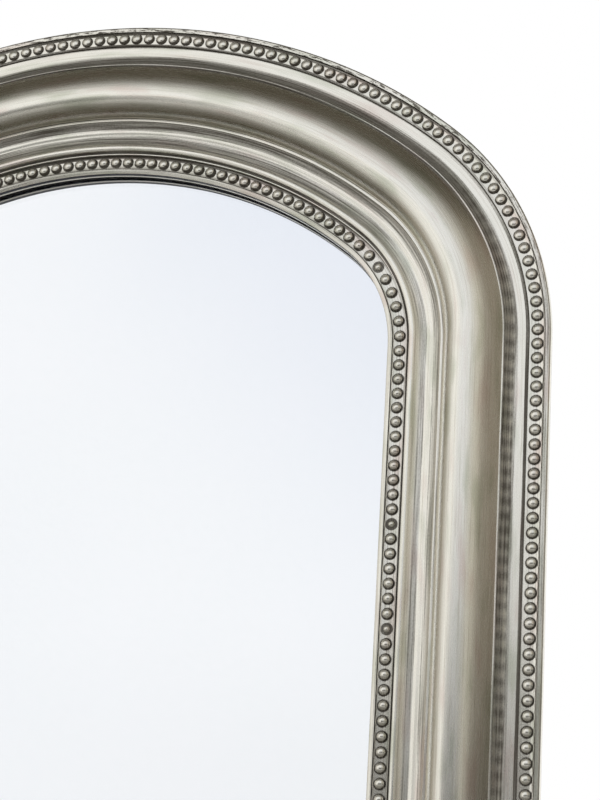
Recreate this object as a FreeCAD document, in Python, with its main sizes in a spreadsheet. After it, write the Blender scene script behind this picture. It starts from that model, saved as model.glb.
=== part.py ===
"""Arched wall mirror with a moulded, beaded frame, in millimetres.

+X is to the viewer's right, +Z is up and the mirror faces -Y. The origin is on the wall plane,
midway between the two wall hooks that the raised hanger rings hang on.
"""
import FreeCAD, Part
import math
import os
import Sketcher

from FreeCAD import Placement, Rotation, Vector

SIZES = {
    # The outline: a crown arc, two tighter shoulder arcs and straight stiles. Half of the crown's
    # arc turns through this share of a right angle, and the shoulder's arc through the rest of it.
    "outer_width": 520.0,
    "crown_turn_share": 0.445,
    "shoulder_radius": 162.5,
    "stile_length": 530.0,
    # The moulding, from the outer edge inwards: heights are above its flat back, and its side leans
    # in towards the back below a flat land at its rim
    "side_lean": 3.5,
    "side_land_height": 15.0,
    "rim_height": 19.7,
    "rim_round": 1.2,
    "rim_land": 1.9,
    "outer_channel_height": 17.7,
    "outer_channel_width": 9.8,
    "cove_foot_height": 18.1,
    "cove_foot_width": 4.7,
    "cove_width": 7.0,
    "upper_fillet_height": 21.0,
    "upper_fillet_width": 0.9,
    "torus_height": 30.7,
    "torus_outer_width": 20.8,
    "torus_inner_width": 11.6,
    "lower_fillet_height": 19.6,
    "lower_fillet_width": 1.6,
    "scotia_top_height": 19.1,
    "scotia_foot_height": 17.3,
    "scotia_width": 4.9,
    "scotia_radius": 10.0,
    "ridge_foot_height": 16.8,
    "ridge_width": 2.4,
    "ridge_radius": 5.0,
    "hollow_foot_height": 18.7,
    "hollow_width": 8.4,
    "hollow_radius": 16.0,
    "ovolo_foot_height": 18.3,
    "ovolo_width": 2.6,
    "ovolo_radius": 4.0,
    "inner_channel_height": 13.0,
    "quirk_height": 15.5,
    "quirk_width": 0.4,
    "quirk_bead_width": 0.5,
    "quirk_bead_height": 16.1,
    "inner_channel_width": 8.2,
    "sight_rail_height": 14.7,
    "sight_rail_foot_height": 14.0,
    "sight_rail_width": 2.6,
    "sight_rail_radius": 2.4,
    "sight_lip": 6.5,
    # The two applied rows of beads, set closer along the crown and wider inside the shoulders
    "bead_pitch": 8.0,
    "outer_crown_pitch": 7.5,
    "outer_shoulder_pitch": 8.2,
    "inner_crown_pitch": 7.2,
    "inner_shoulder_pitch": 9.0,
    "bead_root": 0.5,
    "strip_thickness": 1.0,
    "strip_width": 8.0,
    "strip_side_gap": 0.2,
    "strip_end_gap": 0.1,
    "inner_strip_gap": 0.1,
    "outer_bead_radius": 3.2,
    "inner_bead_radius": 3.1,
    # What the rebate holds
    "glass_thickness": 4.0,
    "board_thickness": 5.4,
    "board_set_in": 0.1,
    "glass_edge_gap": 0.6,
    "board_edge_gap": 0.4,
    # Dowels across the six joints of the frame
    "dowel_radius": 4.0,
    "dowel_length": 32.0,
    "dowel_height": 7.5,
    "dowel_outer_place": 22.0,
    "dowel_inner_place": 62.0,
    "glue_gap": 0.1,
    "dowel_end_gap": 0.5,
    # Strap hangers with loose rings
    "hanger_place": 41.5,
    "hanger_drop": 40.0,
    "strap_width": 14.0,
    "strap_length": 46.0,
    "strap_thickness": 0.9,
    "strap_upper_hole": 26.0,
    "strap_lower_hole": 40.0,
    "ring_axis_height": 2.4,
    "ring_wire_radius": 1.2,
    "ring_half_width": 10.0,
    "ring_arm": 8.0,
    "ring_corner_radius": 2.5,
    "pivot_gap": 0.08,
    # Turn buttons over the backing board
    "button_width": 11.0,
    "button_reach": 17.0,
    "button_thickness": 2.0,
    "button_inset": 8.0,
    "button_seat_gap": 0.05,
    "upper_button_drop": 150.0,
    "lower_button_rise": 130.0,
    # Screws
    "screw_radius": 1.75,
    "screw_head_radius": 3.4,
    "screw_crown_radius": 2.2,
    "screw_head_height": 1.8,
    "screw_slot_width": 0.9,
    "screw_slot_depth": 0.8,
    "screw_point": 3.0,
    "screw_tip_radius": 0.2,
    "strap_screw_length": 16.0,
    "button_screw_length": 8.5,
    "pilot_gap": 0.05,
    "pilot_depth_gap": 0.5,
    # Wall bumpers
    "bumper_radius": 7.0,
    "bumper_thickness": 5.0,
    "bumper_round": 1.0,
    "bumper_place": 45.0,
    # Tools that cut run past what they cut by this much
    "overrun": 5.0,
}

# The moulding's profile, in order from the outer edge inwards: shape, width, height of the end and
# radius. An arc without a radius is level at its foot if hollow, and at its crest if it bulges.
PROFILE_RUNS = [
    # shape, width, height of its end, radius
    ("bulge", "rim_round", "rim_height", "rim_round"),
    ("flat", "rim_land", "rim_height", None),
    ("wall", None, "outer_channel_height", None),
    ("flat", "outer_channel_width", "outer_channel_height", None),
    ("wall", None, "cove_foot_height", None),
    ("flat", "cove_foot_width", "cove_foot_height", None),
    ("hollow", "cove_width", "upper_fillet_height", None),
    ("flat", "upper_fillet_width", "upper_fillet_height", None),
    ("bulge", "torus_outer_width", "torus_height", None),
    ("bulge", "torus_inner_width", "lower_fillet_height", None),
    ("flat", "lower_fillet_width", "lower_fillet_height", None),
    ("wall", None, "scotia_top_height", None),
    ("hollow", "scotia_width", "scotia_foot_height", "scotia_radius"),
    ("bulge", "ridge_width", "ridge_foot_height", "ridge_radius"),
    ("hollow", "hollow_width", "hollow_foot_height", "hollow_radius"),
    ("bulge", "ovolo_width", "ovolo_foot_height", "ovolo_radius"),
    ("wall", None, "quirk_height", None),
    ("flat", "quirk_width", "quirk_height", None),
    ("wall", None, "quirk_bead_height", None),
    ("flat", "quirk_bead_width", "quirk_bead_height", None),
    ("wall", None, "inner_channel_height", None),
    ("flat", "inner_channel_width", "inner_channel_height", None),
    ("wall", None, "sight_rail_height", None),
    ("bulge", "sight_rail_width", "sight_rail_foot_height", "sight_rail_radius"),
]
BAND_WIDTHS = [width for shape, width, height, radius in PROFILE_RUNS if width]


def inset_of(run=None):
    """The formula of how far from the outer edge a run starts, or the sight edge lies."""
    return " + ".join(BAND_WIDTHS[:BAND_WIDTHS.index(run)] if run else BAND_WIDTHS)


# What follows from the sizes, in an order in which each needs only those before it
FORMULAS = {
    "half_width": "outer_width / 2",
    "crown_turn": "90 * crown_turn_share",
    "crown_span": "2 * crown_turn",
    "shoulder_turn": "90 - crown_turn",
    "crown_radius": "shoulder_radius + (half_width - shoulder_radius) / sin(crown_turn)",
    "crown_drop": "(crown_radius - shoulder_radius) * cos(crown_turn)",
    "frame_height": "torus_height",
    "frame_band": inset_of(),
    "rebate_place": "frame_band - sight_lip",
    "rebate_depth": "glass_thickness + board_thickness + board_set_in",
    "glass_lift": "board_set_in + board_thickness",
    "outer_strip_place": inset_of("outer_channel_width") + " + strip_side_gap",
    "inner_strip_place": inset_of("inner_channel_width") + " + inner_strip_gap",
    "ring_seat": "ring_arm + ring_half_width - ring_wire_radius",
    "spring_height": "hanger_drop - ring_seat",
    "hanger_x": "half_width - hanger_place",
    "bore_radius": "ring_wire_radius + pivot_gap",
    "roll_radius": "bore_radius + strap_thickness",
    "pilot_radius": "screw_radius + pilot_gap",
    "pivot_hole_radius": "screw_radius + pivot_gap",
    "button_place": "rebate_place - button_inset",
    "button_lift": "button_thickness + 2 * button_seat_gap",
    "lower_button_drop": "stile_length - lower_button_rise",
}

doc = FreeCAD.newDocument("wall_mirror")
sheet = doc.addObject("Spreadsheet::Sheet", "sizes")
CELLS = {alias: str(value) for alias, value in SIZES.items()}
CELLS.update({alias: "=" + formula for alias, formula in FORMULAS.items()})
for row, (alias, content) in enumerate(CELLS.items(), start=1):
    sheet.set("A%d" % row, alias)
    sheet.set("B%d" % row, content)
    sheet.setAlias("B%d" % row, alias)
    doc.recompute()

X_AXIS = Vector(1, 0, 0)
Y_AXIS = Vector(0, 1, 0)
Z_AXIS = Vector(0, 0, 1)
NO_TURN = Rotation()
RIGHT_ANGLE = 90.0
HALF_TURN = 2 * RIGHT_ANGLE
FULL_TURN = 2 * HALF_TURN


def size(alias):
    """The value of one cell of the sheet."""
    return float(sheet.get(alias))


def bind(item, **links):
    """Tie properties of an object to the sheet; a double underscore stands for a dot."""
    for name, formula in links.items():
        for alias in CELLS:
            formula = formula.replace("<%s>" % alias, "sizes." + alias)
        item.setExpression(name.replace("__", "."), formula)


def fix(sketch, formula, kind, *where):
    """Add one dimension to a sketch, at its present value, and tie it to the sheet."""
    number = sketch.addConstraint(Sketcher.Constraint(kind, *where))
    bind(sketch, **{"Constraints[%d]" % number: formula})
    return number


def plane(body, role):
    """One of the body's own origin planes or axes."""
    for feature in body.Origin.OriginFeatures:
        if feature.Role == role:
            return feature
    raise RuntimeError("no origin feature " + role)


def new_body(label, place):
    """An empty body with its place in the mirror."""
    body = doc.addObject("PartDesign::Body", label)
    body.Label = label
    body.Placement = place
    return body


def new_sketch(body, name, role, offset=None):
    """A sketch on one of the body's origin planes."""
    sketch = body.newObject("Sketcher::SketchObject", name)
    sketch.AttachmentSupport = [(plane(body, role), "")]
    sketch.MapMode = "FlatFace"
    if offset is not None:
        sketch.AttachmentOffset = offset
    return sketch


# Places that follow from the outline
half_width = size("half_width")
crown_turn = size("crown_turn")
crown_drop = size("crown_drop")
rebate_depth = size("rebate_depth")
rebate_place = size("rebate_place")
frame_place = Placement(Vector(0, -size("bumper_thickness"), size("spring_height")), NO_TURN)


def in_frame(x, z, back=0.0, turn=NO_TURN):
    """A place given from the middle of the spring line, at a height behind the frame's back."""
    return frame_place.multiply(Placement(Vector(x, back, z), turn))


# The ends of the mouldings: the local origin is on the outer edge, inwards is -X, front is -Y
spring_end = in_frame(half_width, 0)
crown_end = in_frame(half_width - size("shoulder_radius"), 0).multiply(
    Placement(Vector(0, 0, 0), Rotation(-Y_AXIS, RIGHT_ANGLE - crown_turn))).multiply(
    Placement(Vector(size("shoulder_radius"), 0, 0), NO_TURN))
sill_middle = in_frame(0, -size("stile_length"), turn=Rotation(Y_AXIS, RIGHT_ANGLE))
mitre_end = in_frame(half_width, -size("stile_length"), turn=Rotation(Y_AXIS, RIGHT_ANGLE / 2))
PROFILE_TURN = Rotation(Z_AXIS, HALF_TURN)


def arc_between(start, end, radius, bulging):
    """The shorter arc of a radius from one point to another on its right, bulging up or hollow."""
    chord = end - start
    half = chord.Length / 2
    normal = Vector(-chord.y, chord.x, 0).normalize()
    side = -1 if bulging else 1
    centre = start + chord / 2 + normal * side * math.sqrt(max(radius ** 2 - half ** 2, 0))
    crest = centre - normal * side * radius
    return Part.Arc(start, crest, end)


class Outline:
    """A sketched chain of lines and arcs, one run after another."""

    def __init__(self, sketch, start):
        self.sketch = sketch
        self.point = start
        self.last = None

    def join(self, piece, start):
        """Fasten the start of a new piece to the end of the one before."""
        if self.last is not None:
            self.sketch.addConstraint(Sketcher.Constraint("Coincident", *self.last, piece, start))

    def line(self, end):
        """A straight run; returns its number."""
        piece = self.sketch.addGeometry(Part.LineSegment(self.point, end))
        self.join(piece, 1)
        self.last = (piece, 2)
        self.point = end
        return piece

    def arc(self, end, radius, bulging):
        """A round run; returns its number, its first and its last point."""
        piece = self.sketch.addGeometry(arc_between(self.point, end, radius, bulging))
        first, final = (2, 1) if bulging else (1, 2)
        self.join(piece, first)
        self.last = (piece, final)
        self.point = end
        return piece, first, final


def height_of(sketch, piece, point, height):
    """Hold a point at a height above the back."""
    fix(sketch, "<%s>" % height, "DistanceY", -1, 1, piece, point, size(height))


def draw_profile():
    """The one profile that every moulding is run from."""
    sketch = doc.addObject("Sketcher::SketchObject", "moulding_profile")
    outline = Outline(sketch, Vector(size("side_lean"), 0, 0))
    edge_height = size("rim_height") - size("rim_round")
    lean = outline.line(Vector(0, size("side_land_height"), 0))
    sketch.addConstraint(Sketcher.Constraint("PointOnObject", lean, 1, -1))
    sketch.addConstraint(Sketcher.Constraint("PointOnObject", lean, 2, -2))
    fix(sketch, "<side_lean>", "DistanceX", -1, 1, lean, 1, size("side_lean"))
    height_of(sketch, lean, 2, "side_land_height")
    side = outline.line(Vector(0, edge_height, 0))
    sketch.addConstraint(Sketcher.Constraint("Vertical", side))
    fix(sketch, "<rim_height> - <rim_round>", "DistanceY", -1, 1, side, 2, edge_height)
    for shape, width, height, radius in PROFILE_RUNS:
        run = size(width) if width else 0.0
        rise = size(height) - outline.point.y
        end = outline.point + Vector(run, rise, 0)
        if shape == "wall":
            piece = outline.line(end)
            sketch.addConstraint(Sketcher.Constraint("Vertical", piece))
            height_of(sketch, piece, 2, height)
        elif shape == "flat":
            piece = outline.line(end)
            sketch.addConstraint(Sketcher.Constraint("Horizontal", piece))
            fix(sketch, "<%s>" % width, "DistanceX", piece, 1, piece, 2, run)
        else:
            if radius is None:
                bend = (run ** 2 + rise ** 2) / (2 * abs(rise))
                climb = "(<%s> - <%s>)" % ((height, before) if rise > 0 else (before, height))
                bend_formula = "(<%s>^2 + %s^2) / (2 * %s)" % (width, climb, climb)
            else:
                bend = size(radius)
                bend_formula = "<%s>" % radius
            piece, first, final = outline.arc(end, bend, shape == "bulge")
            fix(sketch, bend_formula, "Radius", piece, bend)
            fix(sketch, "<%s>" % width, "DistanceX", piece, first, piece, final, run)
            height_of(sketch, piece, final, height)
        before = height
    sight = outline.line(Vector(size("frame_band"), rebate_depth, 0))
    sketch.addConstraint(Sketcher.Constraint("Vertical", sight))
    fix(sketch, "<rebate_depth>", "DistanceY", -1, 1, sight, 2, rebate_depth)
    ceiling = outline.line(Vector(rebate_place, rebate_depth, 0))
    sketch.addConstraint(Sketcher.Constraint("Horizontal", ceiling))
    fix(sketch, "<sight_lip>", "DistanceX", ceiling, 2, ceiling, 1, size("sight_lip"))
    wall = outline.line(Vector(rebate_place, 0, 0))
    sketch.addConstraint(Sketcher.Constraint("Vertical", wall))
    back = outline.line(Vector(size("side_lean"), 0, 0))
    sketch.addConstraint(Sketcher.Constraint("Coincident", back, 2, lean, 1))
    sketch.addConstraint(Sketcher.Constraint("Horizontal", back))
    sketch.Placement = Placement(Vector(0, 0, 0), PROFILE_TURN)
    return sketch


profile = draw_profile()


def straight_run(name, place, length_formula, both_ways):
    """A straight length of the moulding, run down from its place or both ways along it."""
    run = doc.addObject("Part::Extrusion", name)
    run.Base = profile
    run.DirMode = "Custom"
    run.Dir = -Z_AXIS
    run.Solid = True
    run.FaceMakerClass = "Part::FaceMakerBullseye"
    run.Symmetric = both_ways
    bind(run, LengthFwd=length_formula)
    run.Placement = place
    return run


def turned_run(name, place, radius, turn):
    """A curved length of the moulding, turned about the centre of its outer edge."""
    run = doc.addObject("Part::Revolution", name)
    run.Source = profile
    run.Axis = -Y_AXIS
    run.Solid = True
    run.FaceMakerClass = "Part::FaceMakerBullseye"
    bind(run, Base__x="-<%s>" % radius, Angle="<%s>" % turn)
    run.Placement = place
    return run


def cylinder(name, place, radius_formula, height_formula):
    """A round bar along the local Z."""
    bar = doc.addObject("Part::Cylinder", name)
    bind(bar, Radius=radius_formula, Height=height_formula)
    bar.Placement = place
    return bar


def group(name, items):
    """Separate solids kept as one thing."""
    bundle = doc.addObject("Part::Compound", name)
    bundle.Links = items
    return bundle


def mirrored(source, name):
    """The left-hand copy of a right-hand piece."""
    copy = doc.addObject("Part::Mirroring", name)
    copy.Source = source
    copy.Normal = X_AXIS
    copy.Label = name
    return copy


def cut(name, base, tools):
    """A piece less its holes and cuts."""
    piece = doc.addObject("Part::Cut", name)
    piece.Base = base
    piece.Tool = group(name + "_cuts", tools)
    piece.Label = name
    return piece


def dowel_places(joint, stretch):
    """Where the two dowels of a joint start, seen from the joint's own frame."""
    for place in ("dowel_outer_place", "dowel_inner_place"):
        start = Vector(-size(place) * stretch, -size("dowel_height"), 0)
        yield joint.multiply(Placement(start, NO_TURN))


def dowels(name, joint, stretch=1.0, hole=False):
    """The two dowels of a joint, or the holes that they are glued into."""
    radius = "<dowel_radius> + <glue_gap>" if hole else "<dowel_radius>"
    length = "<dowel_length> + 2 * <dowel_end_gap>" if hole else "<dowel_length>"
    long = size("dowel_length") + (2 * size("dowel_end_gap") if hole else 0)
    bars = []
    for number, place in enumerate(dowel_places(joint, stretch), start=1):
        start = place.multiply(Placement(Vector(0, 0, -long / 2), NO_TURN))
        bars.append(cylinder("%s_%d" % (name, number), start, radius, length))
    return bars


MITRE_STRETCH = math.sqrt(2)
JOINTS = [("spring", spring_end, 1.0), ("crown", crown_end, 1.0), ("mitre", mitre_end, MITRE_STRETCH)]
right_dowels = []
for joint_name, joint_place, joint_stretch in JOINTS:
    right_dowels += dowels(joint_name + "_dowel", joint_place, joint_stretch)
right_dowel_group = group("right_joint_dowels", right_dowels)
all_dowels = group("joint_dowels", [right_dowel_group, mirrored(right_dowel_group, "left_joint_dowels")])

dowel_holes = {
    joint_name: group(joint_name + "_holes", dowels(joint_name + "_hole", joint_place, stretch, True))
    for joint_name, joint_place, stretch in JOINTS}


def mitre_box(name, height_first):
    """A block with a face in the mitre plane, its lowest corner at a height beside that plane."""
    block = doc.addObject("Part::Box", name)
    bind(block, Length="2 * <outer_width>", Width="<frame_height> + 2 * <overrun>",
         Height="<outer_width>")
    corner = Vector(-size("outer_width"), -size("frame_height") - size("overrun"), height_first)
    block.Placement = mitre_end.multiply(Placement(corner, NO_TURN))
    return block


# Screws: they stand in the back of the frame, with their heads to the wall
BACKWARDS = Rotation(X_AXIS, -RIGHT_ANGLE)
INTO_FRAME = Rotation(X_AXIS, RIGHT_ANGLE)


def screw(name, x, z, lift, length):
    """A slotted wood screw whose head seats at a height behind the frame's back."""
    head = doc.addObject("Part::Cone", name + "_head")
    bind(head, Radius1="<screw_head_radius>", Radius2="<screw_crown_radius>",
         Height="<screw_head_height>")
    head.Placement = in_frame(x, z, lift, BACKWARDS)
    shank = cylinder(name + "_shank", in_frame(x, z, lift, INTO_FRAME), "<screw_radius>",
                     "<%s> - <screw_point>" % length)
    point = doc.addObject("Part::Cone", name + "_point")
    bind(point, Radius1="<screw_radius>", Radius2="<screw_tip_radius>", Height="<screw_point>")
    tip_start = lift - (size(length) - size("screw_point"))
    point.Placement = in_frame(x, z, tip_start, INTO_FRAME)
    solid = doc.addObject("Part::MultiFuse", name + "_solid")
    solid.Shapes = [head, shank, point]
    slot = doc.addObject("Part::Box", name + "_slot")
    bind(slot, Length="2 * <screw_head_radius>", Width="<screw_slot_depth> + <overrun>",
         Height="<screw_slot_width>")
    slot_floor = lift + size("screw_head_height") - size("screw_slot_depth")
    slot.Placement = in_frame(x - size("screw_head_radius"), z - size("screw_slot_width") / 2, slot_floor)
    piece = doc.addObject("Part::Cut", name)
    piece.Base = solid
    piece.Tool = slot
    return piece


def pilot(name, x, z, lift, length):
    """The hole in the frame that a screw stands in."""
    start = in_frame(x, z, size("overrun"), INTO_FRAME)
    reach = "<overrun> + <%s> - <%s> + <pilot_depth_gap>" % (length, lift)
    return cylinder(name, start, "<pilot_radius>", reach)


hanger_x = size("hanger_x")
strap_holes = ("strap_upper_hole", "strap_lower_hole")
button_place = size("button_place")
button_x = half_width - button_place
crown_button_z = size("crown_radius") - crown_drop - button_place
sill_button_z = button_place - size("stile_length")
# Each turn button: its place and the way that it points over the board, in degrees from up
BUTTONS = {
    "turn_button_crown": (0.0, crown_button_z, HALF_TURN),
    "turn_button_right_upper": (button_x, -size("upper_button_drop"), -RIGHT_ANGLE),
    "turn_button_right_lower": (button_x, -size("lower_button_drop"), -RIGHT_ANGLE),
    "turn_button_left_upper": (-button_x, -size("upper_button_drop"), RIGHT_ANGLE),
    "turn_button_left_lower": (-button_x, -size("lower_button_drop"), RIGHT_ANGLE),
    "turn_button_sill": (0.0, sill_button_z, 0.0),
}


def button_pilot(name):
    """The pilot hole of one turn button's screw."""
    x, z, points = BUTTONS[name]
    return pilot(name + "_pilot", x, z, "button_lift", "button_screw_length")


# The six mouldings
stile_run = straight_run("stile_run", spring_end, "<stile_length>", False)
strap_pilots = [
    pilot("strap_pilot_" + hole, hanger_x, -size("hanger_drop") - size(hole), "strap_thickness",
          "strap_screw_length")
    for hole in strap_holes]
right_stile = cut(
    "right_stile_moulding", stile_run,
    [mitre_box("stile_mitre", -size("outer_width")), dowel_holes["spring"], dowel_holes["mitre"],
     button_pilot("turn_button_right_upper"), button_pilot("turn_button_right_lower")] + strap_pilots)
left_stile = mirrored(right_stile, "left_stile_moulding")

shoulder_run = turned_run("shoulder_run", spring_end, "shoulder_radius", "shoulder_turn")
right_shoulder = cut("right_shoulder_moulding", shoulder_run, [dowel_holes["spring"], dowel_holes["crown"]])
left_shoulder = mirrored(right_shoulder, "left_shoulder_moulding")

crown_run = turned_run("crown_run", crown_end, "crown_radius", "crown_span")
crown = cut(
    "crown_moulding", crown_run,
    [dowel_holes["crown"], mirrored(dowel_holes["crown"], "left_crown_holes"),
     button_pilot("turn_button_crown")])

sill_run = straight_run("sill_run", sill_middle, "<outer_width>", True)
right_mitre = mitre_box("sill_mitre", 0.0)
sill = cut(
    "bottom_moulding", sill_run,
    [right_mitre, mirrored(right_mitre, "left_sill_mitre"), dowel_holes["mitre"],
     mirrored(dowel_holes["mitre"], "left_mitre_holes"), button_pilot("turn_button_sill")])


# The bead strips: each is a thin band in its channel with a row of domes on it
def draw_band(body, row, turn_radius=None):
    """The cross-section of a strip, lying in its channel, with the axis that it turns about."""
    sketch = new_sketch(body, body.Name + "_band", "XY_Plane", Placement(Vector(), PROFILE_TURN))
    start = size(row + "_strip_place")
    low = size(row + "_channel_height")
    wide = size("strip_width")
    thick = size("strip_thickness")
    outline = Outline(sketch, Vector(start, low, 0))
    left = outline.line(Vector(start, low + thick, 0))
    top = outline.line(Vector(start + wide, low + thick, 0))
    right = outline.line(Vector(start + wide, low, 0))
    bottom = outline.line(Vector(start, low, 0))
    sketch.addConstraint(Sketcher.Constraint("Coincident", bottom, 2, left, 1))
    for piece in (left, right):
        sketch.addConstraint(Sketcher.Constraint("Vertical", piece))
    for piece in (top, bottom):
        sketch.addConstraint(Sketcher.Constraint("Horizontal", piece))
    fix(sketch, "<%s_strip_place>" % row, "DistanceX", -1, 1, left, 1, start)
    height_of(sketch, left, 1, row + "_channel_height")
    fix(sketch, "<strip_width>", "DistanceX", top, 1, top, 2, wide)
    fix(sketch, "<strip_thickness>", "DistanceY", left, 1, left, 2, thick)
    if turn_radius is not None:
        far = size(turn_radius)
        axis = sketch.addGeometry(Part.LineSegment(Vector(far, 0, 0), Vector(far, thick, 0)), True)
        sketch.addConstraint(Sketcher.Constraint("Vertical", axis))
        sketch.addConstraint(Sketcher.Constraint("PointOnObject", axis, 1, -1))
        fix(sketch, "<%s>" % turn_radius, "DistanceX", -1, 1, axis, 1, far)
        fix(sketch, "<strip_thickness>", "DistanceY", axis, 1, axis, 2, thick)
    return sketch


def row_place(row):
    """How far a row of beads is from the outer edge."""
    return size(row + "_strip_place") + size("strip_width") / 2


def draw_bead(body, row, offset):
    """Half the section of one dome, beside the line that it is turned about."""
    sketch = new_sketch(body, body.Name + "_bead", "XY_Plane", offset)
    middle = row_place(row)
    ground = size(row + "_channel_height") + size("strip_thickness")
    root = ground - size("bead_root")
    radius = size(row + "_bead_radius")
    outline = Outline(sketch, Vector(middle, root, 0))
    axis = outline.line(Vector(middle, ground + radius, 0))
    dome = sketch.addGeometry(Part.ArcOfCircle(
        Part.Circle(Vector(middle, ground, 0), Z_AXIS, radius), 0, math.pi / 2))
    sketch.addConstraint(Sketcher.Constraint("Coincident", axis, 2, dome, 2))
    outline.last = (dome, 1)
    outline.point = Vector(middle + radius, ground, 0)
    side = outline.line(Vector(middle + radius, root, 0))
    foot = outline.line(Vector(middle, root, 0))
    sketch.addConstraint(Sketcher.Constraint("Coincident", foot, 2, axis, 1))
    sketch.addConstraint(Sketcher.Constraint("Vertical", axis))
    sketch.addConstraint(Sketcher.Constraint("Vertical", side))
    sketch.addConstraint(Sketcher.Constraint("Horizontal", foot))
    sketch.addConstraint(Sketcher.Constraint("Horizontal", dome, 3, dome, 1))
    fix(sketch, "<%s_bead_radius>" % row, "Radius", dome, radius)
    fix(sketch, "<%s_bead_radius>" % row, "DistanceX", foot, 2, foot, 1, radius)
    fix(sketch, "<bead_root>", "DistanceY", side, 2, side, 1, size("bead_root"))
    fix(sketch, "<%s_strip_place> + <strip_width> / 2" % row, "DistanceX", -1, 1, axis, 1, middle)
    fix(sketch, "<%s_channel_height> + <strip_thickness> - <bead_root>" % row,
        "DistanceY", -1, 1, axis, 1, root)
    return sketch, axis


def add_dome(body, row, offset):
    """The first dome of a row."""
    sketch, axis = draw_bead(body, row, offset)
    dome = body.newObject("PartDesign::Revolution", body.Name + "_dome")
    dome.Profile = sketch
    dome.ReferenceAxis = (sketch, ["Edge%d" % (axis + 1)])
    dome.Angle = FULL_TURN
    sketch.Visibility = False
    return dome


def bead_count(length, pitch="bead_pitch"):
    """How many beads of about the right pitch fill a length."""
    return max(int(round(length / size(pitch))), 1)


def curved_strip(label, row, place, turn_radius, turn, pitch):
    """A strip along one arc of the frame, its beads half a pitch from its ends."""
    body = new_body(label, place)
    band_sketch = draw_band(body, row, turn_radius)
    band = body.newObject("PartDesign::Revolution", label + "_ground")
    band.Profile = band_sketch
    band.ReferenceAxis = (band_sketch, ["Axis0"])
    bind(band, Angle="<%s>" % turn)
    radius = size(turn_radius)
    angle = size(turn)
    count = bead_count(math.radians(angle) * (radius - row_place(row)), pitch)
    first = angle / count / 2
    swing = Placement(Vector(-radius, 0, 0), NO_TURN).multiply(
        Placement(Vector(), Rotation(-Y_AXIS, first))).multiply(
        Placement(Vector(radius, 0, 0), NO_TURN)).multiply(Placement(Vector(), PROFILE_TURN))
    dome = add_dome(body, row, swing)
    pattern = body.newObject("PartDesign::PolarPattern", label + "_row")
    pattern.Originals = [dome]
    pattern.Axis = (band_sketch, ["Axis0"])
    pattern.Occurrences = count
    bind(pattern, Angle="<%s> * %d / %d" % (turn, count - 1, count))
    body.Tip = pattern
    return body


def straight_strip(label, row, place, start, length_formula, first, spread, spread_formula):
    """A strip along one straight side: its start, length, first bead and the spread of its beads."""
    body = new_body(label, place)
    band_sketch = draw_band(body, row)
    band_sketch.AttachmentOffset = Placement(Vector(0, 0, start), PROFILE_TURN)
    band = body.newObject("PartDesign::Pad", label + "_ground")
    band.Profile = band_sketch
    band.Reversed = True
    bind(band, Length=length_formula)
    dome = add_dome(body, row, Placement(Vector(0, 0, first), PROFILE_TURN))
    pattern = body.newObject("PartDesign::LinearPattern", label + "_row")
    pattern.Originals = [dome]
    pattern.Direction = (plane(body, "Z_Axis"), [""])
    pattern.Reversed = True
    pattern.Occurrences = bead_count(spread) + 1
    bind(pattern, Length=spread_formula)
    body.Tip = pattern
    return body


strips = []
for row in ("outer", "inner"):
    middle = row_place(row)
    START = "<%s_strip_place>" % row
    MIDDLE = "(%s + <strip_width> / 2)" % START
    half_pitch = size("bead_pitch") / 2
    crown_strip = curved_strip(
        "%s_beads_crown" % row, row, crown_end, "crown_radius", "crown_span", row + "_crown_pitch")
    shoulder_strip = curved_strip(
        "%s_beads_right_shoulder" % row, row, spring_end, "shoulder_radius", "shoulder_turn",
        row + "_shoulder_pitch")
    stile_strip = straight_strip(
        "%s_beads_right_stile" % row, row, spring_end, 0.0, "<stile_length> - " + START,
        -half_pitch, size("stile_length") - middle - half_pitch,
        "<stile_length> - %s - <bead_pitch> / 2" % MIDDLE)
    sill_half = half_width - size(row + "_strip_place") - size("strip_width") - size("strip_end_gap")
    corner_span = 2 * (half_width - middle)
    corner_count = bead_count(corner_span)
    sill_pitch = corner_span / corner_count
    sill_strip = straight_strip(
        "%s_beads_bottom" % row, row, sill_middle, sill_half,
        "<outer_width> - 2 * (%s + <strip_width> + <strip_end_gap>)" % START,
        corner_span / 2 - sill_pitch, corner_span - 2 * sill_pitch,
        "(<outer_width> - 2 * %s) * %d / %d" % (MIDDLE, corner_count - 2, corner_count))
    left_shoulder_strip = mirrored(shoulder_strip, "%s_beads_left_shoulder" % row)
    left_stile_strip = mirrored(stile_strip, "%s_beads_left_stile" % row)
    strips += [crown_strip, shoulder_strip, stile_strip, sill_strip, left_shoulder_strip, left_stile_strip]


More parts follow.
